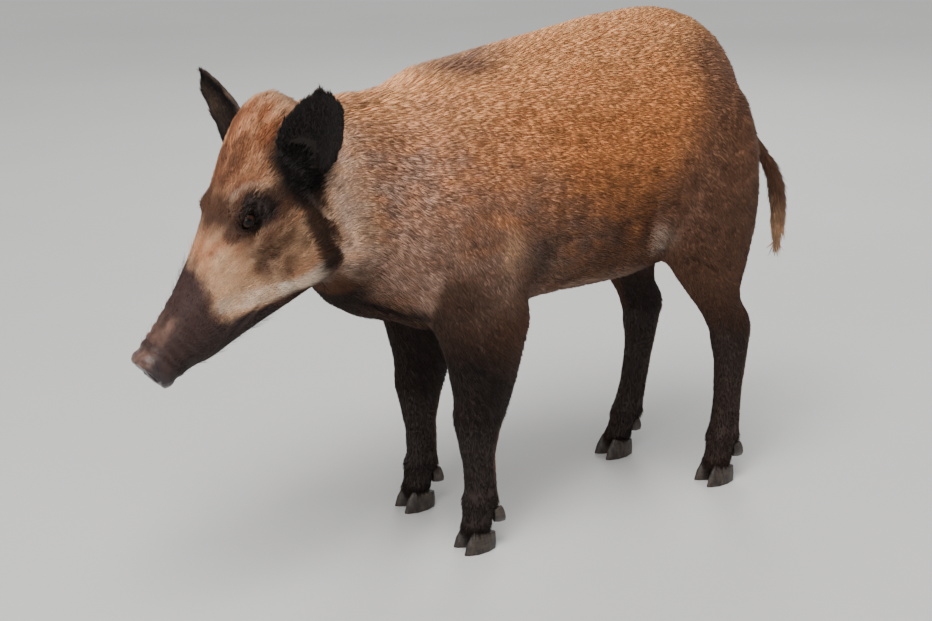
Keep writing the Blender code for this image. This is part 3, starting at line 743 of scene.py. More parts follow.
TAN = linear(232, 154, 94)
GOLD_AND_TOP_LIGHT = linear(255, 192, 134)
RUST = linear(178, 108, 68)
SAND = linear(228, 182, 142)
GRIZZLE = linear(192, 154, 134)
MAUVE = linear(150, 112, 94)
UMBER = linear(96, 64, 46)
SOOT = linear(42, 30, 26)
PLUM = linear(84, 58, 54)
CREAM = linear(255, 230, 206)
BLACK = linear(18, 13, 11)
NOSE_GREY = linear(50, 42, 42)
BELLY_BROWN = linear(176, 142, 122)
FOLD_GREY = linear(206, 186, 168)
SHANK_BROWN = linear(166, 126, 100)
COLLAR_SAND = linear(214, 180, 158)
EAR_DOWN = linear(112, 88, 72)


def paint(colour, over, amount):
    return colour + (over - colour) * np.clip(amount, 0, 1)[:, None]


def layered(colour, fine, rows):
    """Paint on paint: each row is a paint, where it lies, how strong, and how far fine parts it."""
    for over, where, amount, parted in rows:
        colour = paint(colour, over, where * (amount + parted * fine))
    return colour


def stripe(s, u, start, end, half):
    """One along a line drawn on the side of the head, and nothing beyond its half width."""
    start, span = np.array(start), np.array(end) - np.array(start)
    part = np.clip(((s - start[0]) * span[0] + (u - start[1]) * span[1]) / (span @ span), 0, 1)
    away = np.hypot(s - start[0] - part * span[0], u - start[1] - part * span[1])
    return 1 - step(0.55, 1.25, away / (half[0] + (half[1] - half[0]) * part))


print("the coat's tan, linear:", TAN.round(3))

# %% [markdown]
# ## Markings of the face
#
# The face carries the sharpest markings. Each eye has a dark ring with a pale arc over it, which
# is a painted highlight on the brow, a dark patch under it, and dark lines fore and aft. The
# forehead is rust, and the brow behind the eye is brown, partly its own and partly painted shade in
# front of the ear. The cheek is sandy with brown patches, a cream streak runs along the jaw, and
# plum dark covers all of the muzzle. Every mark is a soft shape in the head's own frame, and a
# table lays the paints on in their order.

# %% Face
def round_the_eyes(colour, head, fine):
    """A dark ring, a painted highlight arcing over it, a dark patch under it and dark lines fore and aft.
    """
    for eye in EYE_PLACES.values():
        local = head - eye
        s, _, u = local.T
        mine = step(0.0, 0.02, head[:, 1] * np.sign(eye[1]))
        away = np.linalg.norm(local - np.array([0.008, 0, -0.002]), axis=1)
        # painted highlight: a pale arc on the brow over each eye
        brow_highlight = peak(away, 0.0290, 0.0026) * step(0.002, 0.012, u) * step(-0.006, 0.004, s)
        below = bump(local, (0.001, 0, -0.022), (0.046, 0.08, 0.036)) * 1.4
        aft = stripe(s, u, (0.014, 0.000), (0.058, -0.018), (0.019, 0.018))
        fore = stripe(s, u, (-0.010, 0.000), (-0.028, -0.004), (0.015, 0.009))
        ring = np.exp(-((away / 0.0245) ** 3.2)) * step(-0.026, -0.012, u)
        rim = np.exp(-(np.hypot(s / 0.0150, u / 0.0095) ** 3))
        colour = layered(colour, fine, [
            (UMBER, (below * (0.75 + 0.3 * fine) + aft * 0.95 + fore) * mine, 1, 0),
            (CREAM, brow_highlight * mine, 0.26, 0),
            (SOOT, (ring * 1.05 + aft * (0.30 + 0.25 * fine)) * mine, 1, 0),
            (BLACK, rim * mine, 1, 0),
        ])
    return colour


def face_markings(place, head):
    s, y, u = head.T
    broad = noise(place, 0.040, 3)
    fine = noise(head * np.array([0.35, 1, 1]), 0.0075, 4)
    forehead = step(0.050, 0.080, u - 0.15 * (s - 0.2)) * step(0.17, 0.24, s)
    forehead = forehead * step(0.325, 0.285, s)
    parting = peak(np.abs(y), 0.012, 0.007) * forehead * step(0.3, 0.9, fine + 0.6)
    saddle = bump(head, (0.192, 0, 0.068), (0.044, 0.080, 0.044)) * 1.6
    # the brow behind the eye is darkened, partly its own brown and partly painted shade in front of the ear
    brow = bump(head, (0.244, 0, 0.090), (0.056, 0.085, 0.036)) * 1.4
    jowl = bump(head, (0.204, 0, 0.006), (0.062, 0.3, 0.044)) * 1.25
    chop = stripe(s, u, (0.196, 0.012), (0.179, -0.013), (0.024, 0.015))
    streak = stripe(s, u, (0.226, -0.052), (0.176, -0.037), (0.017, 0.011))
    onward = stripe(s, u, (0.176, -0.037), (0.114, 0.002), (0.012, 0.010))
    under = step(-0.036, -0.050, u + 0.42 * (s - 0.170)) * step(0.10, 0.15, s)
    above, below = np.maximum(u - 0.010, 0), np.maximum(-0.010 - u, 0)
    edge = 0.103 + 0.62 * above + 0.55 * below + 0.9 * np.maximum(below - 0.022, 0)
    edge = edge + 0.006 * noise(place, 0.022, 5) + 0.004 * noise(place, 0.006, 6)
    corner = stripe(s, u, (0.112, -0.034), (0.146, -0.046), (0.017, 0.010))
    muzzle = np.maximum(step(0.013, -0.010, s - edge), corner)
    tip = step(0.030, 0.042, s) * step(0.080, 0.060, s) * step(0.016, 0.028, u)
    colour = layered(np.tile(SAND, (len(place), 1)), fine, [
        (RUST, 1, 0.22 + 0.30 * broad, 0.40),
        (RUST, forehead, 0.80, 0.35),
        (UMBER, forehead, 0.20, 0.32),
        (UMBER, parting, 0.65, 0),
        (UMBER, saddle, 0.90, 0.3),
        (SOOT, np.minimum(saddle, 1), 0.20, 0),
        (UMBER, brow, 0.52, 0.4),
        (UMBER, jowl, 0.66, 0.40),
        (UMBER, chop, 0.45, 0.40),
        (CREAM, streak * (1.00 + 0.3 * fine) + onward * (0.42 + 0.3 * fine), 1, 0),
        (UMBER, under, 1, 0),
        (SOOT, under, 0.35, 0),
        (PLUM, muzzle, 1.05, 0),
        (SOOT, muzzle, 0.45 + 0.25 * broad + 0.55 * step(0.01, -0.02, u), 0),
        (MAUVE, tip, 0.40, 0.4),
    ])
    return round_the_eyes(colour, head, fine)


muzzle_point = int(np.argmax(share["muzzle"]))
sample = face_markings(points[[muzzle_point]], head_place[[muzzle_point]])[0]
print("the muzzle's colour:", sample.round(3))

# %% [markdown]
# ## Markings of the body
#
# The hair of the back has golden tips, and gold is laid on wherever the coat faces up, so it is
# partly painted light from above. The flank is reddish, and the coat darkens low down and over the
# rump, partly in its own browner hair and partly as painted shade. Whatever faces down gets
# painted shade, a painted shadow lies in the armpit behind the elbow, and a pale patch on the
# elbow is painted light. The front is grizzled, a mauve patch lies on the withers, and the belly's
# edge and the fold before the thigh each have a tone of their own. All of these fade into each
# other, so each is a soft step or bump, and the two noises break up its edge.

# %% Trunk
def body_markings(place, part, facing, broad, fine):
    x, height = place[:, 0], place[:, 2]
    legs = part["upper"] + part["lower"]
    # painted shade: the coat darkens low down, partly its own browner hair and partly shade from above
    lower_half = step(0.51, 0.38, height + 0.02 * broad)
    # the rump is mauve high up; lower down its darkening is partly its own umber and partly painted shade
    rump = step(-0.040, 0.048, x - 0.182 - 0.37 * (height - 0.40) + 0.016 * broad)
    front = step(0.10, -0.17, x + 0.55 * (height - 0.45) + 0.05 * broad)
    front = front * (1 - 0.75 * step(0.35, 0.9, facing[:, 2]))
    shoulder = bump(place, (-0.080, 0, 0.415), (0.060, 0.3, 0.085))
    withers = bump(place, (-0.058, 0, 0.620), (0.095, 0.080, 0.048))
    # painted light: a pale sand patch where light falls on the elbow
    lit_elbow = bump(place, (-0.042, 0, 0.400), (0.026, 0.3, 0.050)) * part["upper"]
    # painted shade on every surface that faces down
    shade_beneath = step(0.15, 0.85, -facing[:, 2])
    # painted shadow in the armpit behind the elbow
    armpit_shadow = peak(x + 0.001 - 0.2 * (height - 0.36), 0, 0.024) * step(0.47, 0.38, height)
    belly_line = bump(place, (0.105, 0, 0.322), (0.130, 0.3, 0.026)) * (1 - legs)
    fold = bump(place, (0.197, 0, 0.372), (0.032, 0.30, 0.036))
    return layered(np.tile(TAN, (len(place), 1)), fine, [
        (RUST, 1, 0.16 + 0.30 * broad, 0.26),
        # painted light: gold is laid on hair that faces up, partly its own golden tips and partly light
        # from above
        (GOLD_AND_TOP_LIGHT, step(0.20, 0.90, facing[:, 2]), 0.72, -0.2),
        (RUST, lower_half, 0.5, 0),
        (UMBER, lower_half, 0.86, 0.25),
        (MAUVE, rump * 0.75 * step(0.645, 0.60, height), 1, 0),
        (UMBER, rump * step(0.62, 0.50, height), 0.62, 0.20),
        (GRIZZLE, front, 0.78, 0.40),
        (UMBER, shoulder, 0.42, 0.3),
        (MAUVE, withers, 1.15, 0.5),
        (SAND, lit_elbow, 0.8, 0),
        (UMBER, shade_beneath, 0.75, 0),
        (SOOT, armpit_shadow * step(0.24, 0.30, height), 0.70, 0),
        (BELLY_BROWN, belly_line, 0.55, 0.5),
        (FOLD_GREY, fold, 0.65, 0.5),
    ])


highest = [int(np.argmax(points[:, 2] * share["trunk"]))]
one_share = {part: share[part][highest] for part in PARTS}
flat = np.zeros(1)
back_colour = body_markings(points[highest], one_share, normals[highest], flat, flat)[0]
print("the colour of the back where it is highest:", back_colour.round(3))

# %% [markdown]
# ## Markings of the legs, the tail and the neck
#
# The legs darken downwards in their own dark hair, soonest on the forelegs, where the dark is
# partly painted shade, and on the inner sides, where the legs face each other and the dark is
# painted shade. The rear edge of the shank is paler, partly its own brown and partly painted
# light. On the neck a pale collar lies behind a dark band that falls from each ear, partly dark
# hair and partly a painted shadow in the crease between jaw and neck, and a strap carries the
# band on under the jaw. The throat's underside gets painted shade. The ears are black, with brown
# down on the side that faces the other ear, and black painted at each ear's root fills its cup,
# partly the ear's own black and partly painted shade. The face is laid over the body's colour
# before the neck, so that the band covers the seam between them.

# %% Legs, tail, neck and ears
def limb_markings(colour, place, part, facing, broad, fine):
    x, height = place[:, 0], place[:, 2]
    legs = part["upper"] + part["lower"]
    # the forelegs darken higher up, partly their own dark hair and partly painted shade
    fore = step(0.00, -0.10, x) * step(0.425, 0.330, height + 0.035 * broad) * 0.85
    dark_leg = np.maximum(step(0.42, 0.27, height + 0.02 * broad), fore) * step(0.35, 0.75, legs)
    # painted shade on the inner sides of the legs, where they face each other
    inner_shade = step(0.15, 0.7, np.sign(-place[:, 1]) * facing[:, 1])
    # the rear edge of the shank is paler, partly its own brown and partly painted light
    paler_and_lit_rear = step(0.2, 0.8, facing[:, 0]) * step(0.05, 0.12, height) * step(0.30, 0.2, height)
    return layered(colour, fine, [
        (UMBER, dark_leg, 1, 0),
        (SOOT, dark_leg * (step(0.32, 0.20, height) * 0.85 + fore * 0.7 + inner_shade * 0.6), 1, 0),
        (SHANK_BROWN, part["lower"] * paler_and_lit_rear, 0.55, 0),
        (UMBER, part["dock"], 0.75, 0),
        (SAND, part["tassel"] * step(0.40, 0.33, height), 0.8, 0),
    ])


def neck_markings(colour, place, head, part, facing, fine):
    x, height = place[:, 0], place[:, 2]
    s, y, u = head.T
    sides = step(0.008, 0.030, np.abs(y) + 0.6 * np.maximum(-u - 0.05, 0))
    collar = stripe(s, u, (0.312, 0.020), (0.252, -0.082), (0.024, 0.024)) * step(-0.10, -0.16, x)
    throat_line = 0.298 + 3.8 * np.maximum(-0.130 - x, 0) ** 2
    # painted shade on the underside of the throat
    throat_shade = step(0.046, 0.024, height - throat_line - 0.006 * fine) * step(-0.10, -0.15, x)
    throat_shade = throat_shade * step(-0.30, -0.24, x)
    # the dark band from each ear is partly dark hair and partly a painted shadow in the crease between jaw
    # and neck; the strap carries it on under the jaw
    band_and_crease_shadow = stripe(s, u, (0.273, 0.044), (0.229, -0.046), (0.022, 0.016))
    band_and_crease_shadow = band_and_crease_shadow * sides * step(-0.12, -0.19, x + 0.35 * (height - 0.40))
    strap = stripe(s, u, (0.229, -0.046), (0.226, -0.100), (0.014, 0.012)) * sides
    # black at each ear's root fills the ear's cup, partly the ear's own black and partly painted shade
    ear_root = stripe(s, u, (0.277, 0.046), (0.290, 0.096), (0.035, 0.034))
    ear_root = ear_root * step(0.032, 0.050, np.abs(y)) * step(-0.15, -0.21, x)
    inwards = -np.sign(y) * (facing @ HEAD_AXES[1])
    down = step(-0.1, 0.5, inwards) * part["ear"] * step(0.06, 0.12, u)
    return layered(colour, fine, [
        (COLLAR_SAND, collar, 0.55, 0.5),
        (SOOT, throat_shade, 0.80, 0.3),
        (UMBER, np.maximum(band_and_crease_shadow * 0.9, strap * 0.85), 1, 0),
        (SOOT, band_and_crease_shadow, 0.80, 0.25),
        (BLACK, ear_root, 1, 0),
        (BLACK, part["ear"], 1.15, 0),
        (EAR_DOWN, down, 0.60, 0.3),
    ])


def markings(place, part, facing):
    """The coat's colour at each point, from its place, its shares of the parts and its normal."""
    head = in_head(place)
    broad = noise(place, 0.060, 1)
    fine = noise(place * np.array([0.5, 1, 1]), 0.010, 2)
    colour = body_markings(place, part, facing, broad, fine)
    colour = limb_markings(colour, place, part, facing, broad, fine)
    colour = paint(colour, face_markings(place, head), part["head"] + part["muzzle"])
    return neck_markings(colour, place, head, part, facing, fine)


print("the whole skin's mean colour:", markings(points, share, normals).mean(axis=0).round(3))

# %% [markdown]
# ## The bare skin's colours
#
# The disc is grey, with a rosy painted highlight on its upper rim. The nostrils are darkened as
# painted shade in their pits, and the crease of the mouth and the lids are dark. They have no hair
# to carry a colour, so they are painted on the skin alone.

# %% Nose, mouth and lids
colour = markings(points, share, normals)
bare_nose = step(0.026, 0.010, head_place[:, 0] - 0.012 * step(0.0, 0.02, head_place[:, 2]))
# painted highlight: the upper rim of the disc is lightened to a rosy mauve
rim_highlight = bare_nose * step(0.012, 0.024, head_place[:, 2])
colour = paint(colour, NOSE_GREY, bare_nose * (0.90 + 0.2 * noise(points, 0.006, 8)))
colour = paint(colour, MAUVE, rim_highlight * (0.35 + 0.25 * noise(points, 0.004, 9)))
# painted shade: the nostrils' pits are darkened
nostril_shade = np.zeros(len(points))
for flank in (-1, 1):
    nostril_shade += bump(head_place, (0.010, flank * 0.0130, 0.0015), (0.020, 0.0095, 0.0120))
colour = paint(colour, BLACK, nostril_shade * 0.9)
colour = paint(colour, SOOT, mouth_skin)
colour = paint(colour, BLACK, step(1.7, 1.2, eye_opening))
print("points on the bare nose:", int((bare_nose > 0.5).sum()))

# %% [markdown]
# ## Materials of skin and hair
#
# Skin shows between the hairs and on the nose, lids and lips. It takes the coat's own colour
# from an attribute, a little darker, as hair roots are in shade, with blotches and fine pores.
# A second attribute says where it is moist, and there it shines. Hair takes its colour from
# the tuft, and a fine grain along it breaks the shine into single hairs. The patterns are made
# with nodes and not with pictures, so they stay sharp however near one looks.

# %% Helpers for materials
def tree_of(name, roughness, specular=0.5, sheen=0.0):
    material = bpy.data.materials.new(name)
    material.use_nodes = True
    shader = material.node_tree.nodes["Principled BSDF"]
    shader.inputs["Roughness"].default_value = roughness
    shader.inputs["Specular IOR Level"].default_value = specular
    shader.inputs["Sheen Weight"].default_value = sheen
    return material, material.node_tree, shader


def add(tree, kind, **values):
    node = tree.nodes.new(kind)
    for key, value in values.items():
        if key in node.inputs:
            node.inputs[key].default_value = value
        else:
            setattr(node, key, value)
    return node


def pattern_of(tree, scale, stretch=(1, 1, 1), detail=4.0):
    """A noise over the object's own coordinates, longer where the stretch is small."""
    place = add(tree, "ShaderNodeTexCoord")
    frame_of = add(tree, "ShaderNodeMapping", Scale=stretch)
    pattern = add(tree, "ShaderNodeTexNoise", Scale=scale, Detail=detail)
    tree.links.new(place.outputs["Object"], frame_of.inputs["Vector"])
    tree.links.new(frame_of.outputs["Vector"], pattern.inputs["Vector"])
    return pattern.outputs["Fac"]


def ranged(tree, source, low, high):
    """The pattern's middle range stretched over low to high."""
    reach = add(tree, "ShaderNodeMapRange")
    for socket, value in (("From Min", 0.3), ("From Max", 0.7), ("To Min", low), ("To Max", high)):
        reach.inputs[socket].default_value = value
    tree.links.new(source, reach.inputs["Value"])
    return reach.outputs["Result"]


def tinted(tree, shader, colour, amount):
    """The colour times a pattern's amount, into the shader."""
    mixed = add(tree, "ShaderNodeMix", data_type="RGBA", blend_type="MULTIPLY")
    mixed.inputs["Factor"].default_value = 1.0
    tree.links.new(colour, mixed.inputs["A"])
    tree.links.new(amount, mixed.inputs["B"])
    tree.links.new(mixed.outputs["Result"], shader.inputs["Base Color"])


def relief(tree, shader, source, strength, distance):
    raised = add(tree, "ShaderNodeBump", Strength=strength, Distance=distance)
    tree.links.new(source, raised.inputs["Height"])
    tree.links.new(raised.outputs["Normal"], shader.inputs["Normal"])


def painted_colour(tree, name):
    return add(tree, "ShaderNodeAttribute", attribute_name=name).outputs["Color"]


print("materials so far:", len(bpy.data.materials))

# %% [markdown]
# ## Skin and its wet places
#
# Moist skin, on the disc and along the lids, shines; the rest is dull. One material serves both,
# and an attribute tells it how rough to be at each point. Under the hair the skin is darker
# still, so that the gaps between the tufts read as depth.

# %% Skin and hair
DRY_ROUGH, WET_ROUGH = 0.60, 0.26
skin_material, skin_tree, skin_shader = tree_of("skin", DRY_ROUGH, 0.30)
blotches = ranged(skin_tree, pattern_of(skin_tree, 160), 0.80, 1.15)
tinted(skin_tree, skin_shader, painted_colour(skin_tree, "skin_colour"), blotches)
relief(skin_tree, skin_shader, pattern_of(skin_tree, 900), 0.5, 0.0006)
moist = add(skin_tree, "ShaderNodeAttribute", attribute_name="moist")
drier = add(skin_tree, "ShaderNodeMapRange")
drier.inputs["To Min"].default_value = DRY_ROUGH
drier.inputs["To Max"].default_value = WET_ROUGH
skin_tree.links.new(moist.outputs["Fac"], drier.inputs["Value"])
skin_tree.links.new(drier.outputs["Result"], skin_shader.inputs["Roughness"])

hair_material, hair_tree, hair_shader = tree_of("hair", 0.55, 0.22)
strands = ranged(hair_tree, pattern_of(hair_tree, 700), 0.84, 1.14)
tinted(hair_tree, hair_shader, painted_colour(hair_tree, "hair_colour"), strands)
relief(hair_tree, hair_shader, pattern_of(hair_tree, 1400, detail=2.0), 0.35, 0.0004)


def new_object(name, mesh, material):
    piece = bpy.data.objects.new(name, mesh)
    bpy.context.scene.collection.objects.link(piece)
    mesh.materials.clear()
    mesh.materials.append(material)
    mesh.shade_smooth()
    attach(piece, "root")
    return piece


def write_colours(mesh, name, colours):
    layer = mesh.color_attributes.new(name, "FLOAT_COLOR", "POINT")
    with_alpha = np.ones((len(colours), 4), np.float32)
    with_alpha[:, :3] = colours
    layer.data.foreach_set("color", with_alpha.ravel())


write_points(skin_mesh, body_points)
on_skin = paint(colour, SOOT, (0.35 + 0.30 * share["lower"]) * (1 - bare))
write_colours(skin_mesh, "skin_colour", on_skin)
wet = np.maximum(bare_nose, step(1.6, 1.2, eye_opening))
moist_layer = skin_mesh.attributes.new("moist", "FLOAT", "POINT")
moist_layer.data.foreach_set("value", wet.astype(np.float32))
skin = new_object("skin", skin_mesh, skin_material)
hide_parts(*FLESH)
print("skin triangles:", len(triangles_of(skin_mesh)))

# %% [markdown]
# ## One tuft
#
# A tuft is a few dozen hairs that cling together. One could be made as a bundle of curves, but
# the coat needs over two hundred thousand of them, so a tuft is a slim three-sided spike: a
# cone, cut across once, made fuller at the cut and drawn to a point at its root, six faces in
# all. Where the hair is too short to bend, the plain cone of four faces is enough.

# %% The tuft to be copied
def tuft_shape(cut):
    bm = bmesh.new()
    bmesh.ops.create_cone(bm, cap_ends=not cut, segments=3, radius1=0.5, radius2=0, depth=1)
    bmesh.ops.remove_doubles(bm, verts=bm.verts, dist=1e-5)
    bmesh.ops.translate(bm, verts=bm.verts, vec=(0, 0, 0.5))
    if cut:
        everything = bm.verts[:] + bm.edges[:] + bm.faces[:]
        bmesh.ops.bisect_plane(bm, geom=everything, plane_co=(0, 0, cut), plane_no=(0, 0, 1))
        ring = [v for v in bm.verts if abs(v.co.z - cut) < 1e-5]
        bmesh.ops.scale(bm, verts=ring, vec=(1 / (1 - cut), 1 / (1 - cut), 1))
        root = [v for v in bm.verts if v.co.z < 1e-5]
        bmesh.ops.pointmerge(bm, verts=root, merge_co=(0, 0, 0))
    bmesh.ops.triangulate(bm, faces=bm.faces)
    bmesh.ops.recalc_face_normals(bm, faces=bm.faces)
    shape = np.array([v.co for v in bm.verts])
    faces = np.array([[v.index for v in f.verts] for f in bm.faces])
    bm.free()
    return shape, faces


BENT_TUFT = tuft_shape(0.42)
SPIKE = tuft_shape(0)
print("faces of a bent tuft:", len(BENT_TUFT[1]), " of a spike:", len(SPIKE[1]))

# %% [markdown]
# ## Where the tufts grow
#
# Roots are scattered evenly over the skin's triangles, as many as the table asks for. Each
# region of the coat is a piece of its own. Hair curves could be grown instead, but the coat is
# made of solid meshes, so the roots are drawn by chance with arrays.
# region of the coat is a piece of its own. Hair curves could be grown instead, but the coat has
# to leave Blender as solid meshes, so the roots are drawn by chance with arrays.

# %% Scattered roots
RANDOM = np.random.default_rng(7)
triangles = triangles_of(skin_mesh)
corner_sets = body_points[triangles]
face_cross = np.cross(corner_sets[:, 1] - corner_sets[:, 0], corner_sets[:, 2] - corner_sets[:, 0])
face_area = np.linalg.norm(face_cross, axis=1) / 2


def scattered(chosen, per_area):
    """Random roots on the chosen triangles: the triangle of each, and its place in it."""
    expected = face_area[chosen] * per_area[triangles[chosen]].mean(axis=1)
    count = np.floor(expected + RANDOM.random(len(chosen))).astype(int)
    local = np.repeat(np.arange(len(chosen)), count)
    one = np.sqrt(RANDOM.random(len(local)))
    two = RANDOM.random(len(local))
    weights = np.stack([1 - one, one * (1 - two), one * two], axis=1)
    return local, weights


print("skin, square metres:", face_area.sum().round(3))

# %% [markdown]
# ## A bake map for the tufts
#
# The baked colours of every tuft need a place on the map named OFBake. Unwrapping that many
# tufts one by one would be slow, so every tuft gets a small patch at its root's place on an
# unwrap of the region's skin, and neighbours stay neighbours. All tufts of a region are then
# one mesh.

# %% Patches and copies
PATCH = 0.003


def unwrapped(chosen, name):
    """The bake map of these triangles of skin: one place for each of their corners."""
    used, small = np.unique(triangles[chosen], return_inverse=True)
    mesh = bpy.data.meshes.new(name)
    mesh.from_pydata(body_points[used].tolist(), [], small.reshape(-1, 3).tolist())
    helper = bpy.data.objects.new(name, mesh)
    bpy.context.scene.collection.objects.link(helper)
    bpy.context.view_layer.objects.active = helper
    helper.select_set(True)
    bpy.ops.object.mode_set(mode="EDIT")
    bpy.ops.mesh.select_all(action="SELECT")
    bpy.ops.uv.smart_project(angle_limit=math.radians(66), island_margin=0.004)
    bpy.ops.object.mode_set(mode="OBJECT")
    places = np.zeros(len(mesh.loops) * 2, np.float32)
    mesh.uv_layers.active.data.foreach_get("uv", places)
    bpy.data.objects.remove(helper)
    return places.reshape(-1, 3, 2).astype(float)


def at_roots(values, corners, weights):
    picked = values[corners]
    if picked.ndim == 2:
        return np.sum(picked * weights, axis=1)
    return np.sum(picked * weights[:, :, None], axis=1)


def joined_copies(name, template, placed, patches, colours):
    """One mesh of all the tufts, from arrays: placed is tufts x points x 3."""
    shape, faces = template
    tufts, each = placed.shape[:2]
    all_faces = (faces[None] + (np.arange(tufts) * each)[:, None, None]).reshape(-1, 3)
    mesh = bpy.data.meshes.new(name)
    mesh.vertices.add(tufts * each)
    mesh.vertices.foreach_set("co", placed.astype(np.float32).ravel())
    mesh.loops.add(len(all_faces) * 3)
    mesh.loops.foreach_set("vertex_index", all_faces.astype(np.int32).ravel())
    mesh.polygons.add(len(all_faces))
    mesh.polygons.foreach_set("loop_start", np.arange(len(all_faces), dtype=np.int32) * 3)
    mesh.update(calc_edges=True)
    on_patch = np.stack([shape[:, 0] / 1.6, shape[:, 2] - 0.5], axis=1) * PATCH
    spread = (patches[:, None] + on_patch[None]).reshape(-1, 2)
    layer = mesh.uv_layers.new(name="OFBake")
    layer.data.foreach_set("uv", spread[all_faces.ravel()].astype(np.float32).ravel())
    write_colours(mesh, "hair_colour", colours.reshape(-1, 3))
    return mesh


print("a patch's side, as a share of the map:", PATCH)

# %% [markdown]
# ## How a region grows its coat
#
# Real hair clings in locks, leans a little this way and that, and varies in tone from tip to
# tip. So each tuft takes its length, width and slope from the table with some chance in it, its
# tip is drawn towards a leading tuft near by, and its colour is the markings' own, brighter or
# darker by chance, in dark ripples, and shaded towards the root.

# %% Growing one piece
SUNK = 0.0012
DROOP = 0.38
FLATTENED = 0.6


def drawn_together(root, tips, amount, each):
    """How far each tip moves towards the tip of the lock it belongs to."""
    leaders = RANDOM.choice(len(root), max(1, len(root) // each), replace=False)
    near = KDTree(len(leaders))
    for index, leader in enumerate(leaders):
        near.insert(root[leader], index)
    near.balance()
    chosen = leaders[[near.find(place)[1] for place in root]]
    return (tips[chosen] - tips) * amount


def tuft_colours(root, here, across, height):
    """The markings at each root, varied by chance, dark in ripples and shaded at the root."""
    base = markings(root, here, across)
    bright = RANDOM.normal(1, 0.12, len(root)) * (1 + 0.12 * noise(root, 0.012, 14))
    specks = noise(root * np.array([0.42, 1, 1]), 0.0065, 15) + RANDOM.normal(0, 0.18, len(root))
    rippled = 0.30 + 0.70 * np.maximum(step(0.59, 0.47, root[:, 2]), step(-0.10, -0.18, root[:, 0]))
    bright = bright * (1 - 0.45 * rippled * step(0.46, 0.76, specks))
    base = base * np.clip(bright, 0.35, 1.5)[:, None]
    shade = 0.66 + 0.34 * step(0.0, 0.5, height)
    return base[:, None] * shade[None, :, None]


def grown(name, chosen, template, lock=0.35, each=9, change=(1, 1, 1, 1)):
    """One piece of the coat; change multiplies the table's length, width, lift and number."""
    longer, wider, steeper, more = change
    local, weights = scattered(chosen, density * more)
    corners = triangles[chosen][local]
    root = at_roots(body_points, corners, weights)
    across = unit(at_roots(normals, corners, weights))
    flow = laid_flat(at_roots(way, corners, weights), across)
    long = at_roots(length, corners, weights) * RANDOM.uniform(0.70, 1.15, len(root)) * longer
    wide = at_roots(width, corners, weights) * RANDOM.uniform(0.75, 1.25, len(root)) * wider
    rise = at_roots(lift, corners, weights) * RANDOM.uniform(0.6, 1.25, len(root)) * steeper
    side_way = np.cross(across, flow)
    turn = 0.22 * noise(root, 0.030, 11) + 0.12 * noise(root, 0.008, 12)
    turn += RANDOM.normal(0, 0.09, len(root))
    flow = unit(flow + side_way * turn[:, None])
    side_way = np.cross(across, flow)
    shape = template[0]
    height = shape[:, 2]
    along = long[:, None] * height[None]
    up = along * np.sin(rise)[:, None] * (1 - DROOP * height[None]) - SUNK * (1 - height[None])
    placed = root[:, None] + flow[:, None] * (along * np.cos(rise)[:, None])[:, :, None]
    placed += across[:, None] * up[:, :, None]
    pull = drawn_together(root, root + flow * long[:, None], lock, each)
    pull -= across * np.sum(pull * across, axis=1, keepdims=True)
    placed += pull[:, None] * (height**2)[None, :, None]
    placed += side_way[:, None] * (shape[None, :, 0] * wide[:, None])[:, :, None]
    placed += across[:, None] * (shape[None, :, 1] * wide[:, None] * FLATTENED)[:, :, None]
    here = {part: at_roots(values, corners, weights) for part, values in share.items()}
    colours = tuft_colours(root, here, across, height)
    patches = np.sum(unwrapped(chosen, name)[local] * weights[:, :, None], axis=1)
    mesh = joined_copies(name, template, placed, patches, colours)
    piece = new_object(name, mesh, hair_material)
    print(name, "tufts:", len(root), " triangles:", len(mesh.polygons))
    return piece


# %% [markdown]
# ## The coat, piece by piece
#
# The coat is parted where the body is, by the share that is greatest on each triangle, and the
# long trunk is parted again into front, middle and rear. It could be one piece, but each mesh
# is kept under 200,000 triangles, and the whole coat has seven times that. The whiskers are
# long thin tufts, few and steep, on the snout.

# %% The pieces of the coat
SNOUT_BACK, FORE_LEGS_BACK, WHISKERS_BACK = 0.185, 0.1, 0.15
SHOULDERS_BACK, FLANKS_BACK = 0.02, 0.19
part_names = list(PARTS)
leading = np.argmax(np.stack([share[part][triangles].mean(axis=1) for part in part_names]), axis=0)
triangle_middle = corner_sets.mean(axis=1)


def picked(parts, low=-9.0, high=9.0):
    inside = np.isin(leading, [part_names.index(part) for part in parts])
    inside &= (triangle_middle[:, 0] >= low) & (triangle_middle[:, 0] < high)
    return np.flatnonzero(inside)


in_front = in_head(triangle_middle)[:, 0] < SNOUT_BACK


def only(chosen, wanted):
    return chosen[wanted[chosen]]


head_skin = picked(["head", "muzzle"])
leg_skin = picked(["upper"])
near_front = triangle_middle[:, 0] < FORE_LEGS_BACK
grown("coat_snout", only(head_skin, in_front), SPIKE, 0.15)
grown("coat_crown", only(head_skin, ~in_front), BENT_TUFT, 0.30)
grown("coat_ears", picked(["ear"]), SPIKE, 0.25)
grown("coat_neck", picked(["neck"]), BENT_TUFT, 0.45)
grown("coat_shoulders", picked(["trunk"], high=SHOULDERS_BACK), BENT_TUFT, 0.40)
grown("coat_flanks", picked(["trunk"], SHOULDERS_BACK, FLANKS_BACK), BENT_TUFT, 0.35)
grown("coat_rump", picked(["trunk"], FLANKS_BACK), BENT_TUFT, 0.35)
grown("coat_forearms", only(leg_skin, near_front), BENT_TUFT, 0.35)
grown("coat_thighs", only(leg_skin, ~near_front), BENT_TUFT, 0.35)
grown("coat_lower_legs", picked(["lower"]), SPIKE, 0.20)
grown("coat_tail", picked(["dock", "tassel"]), BENT_TUFT, 0.30)
whisker_skin = head_skin[in_head(triangle_middle)[head_skin, 0] < WHISKERS_BACK]
grown("coat_whiskers", whisker_skin, BENT_TUFT, 0, 9, (3.4, 0.5, 2.2, 0.030))

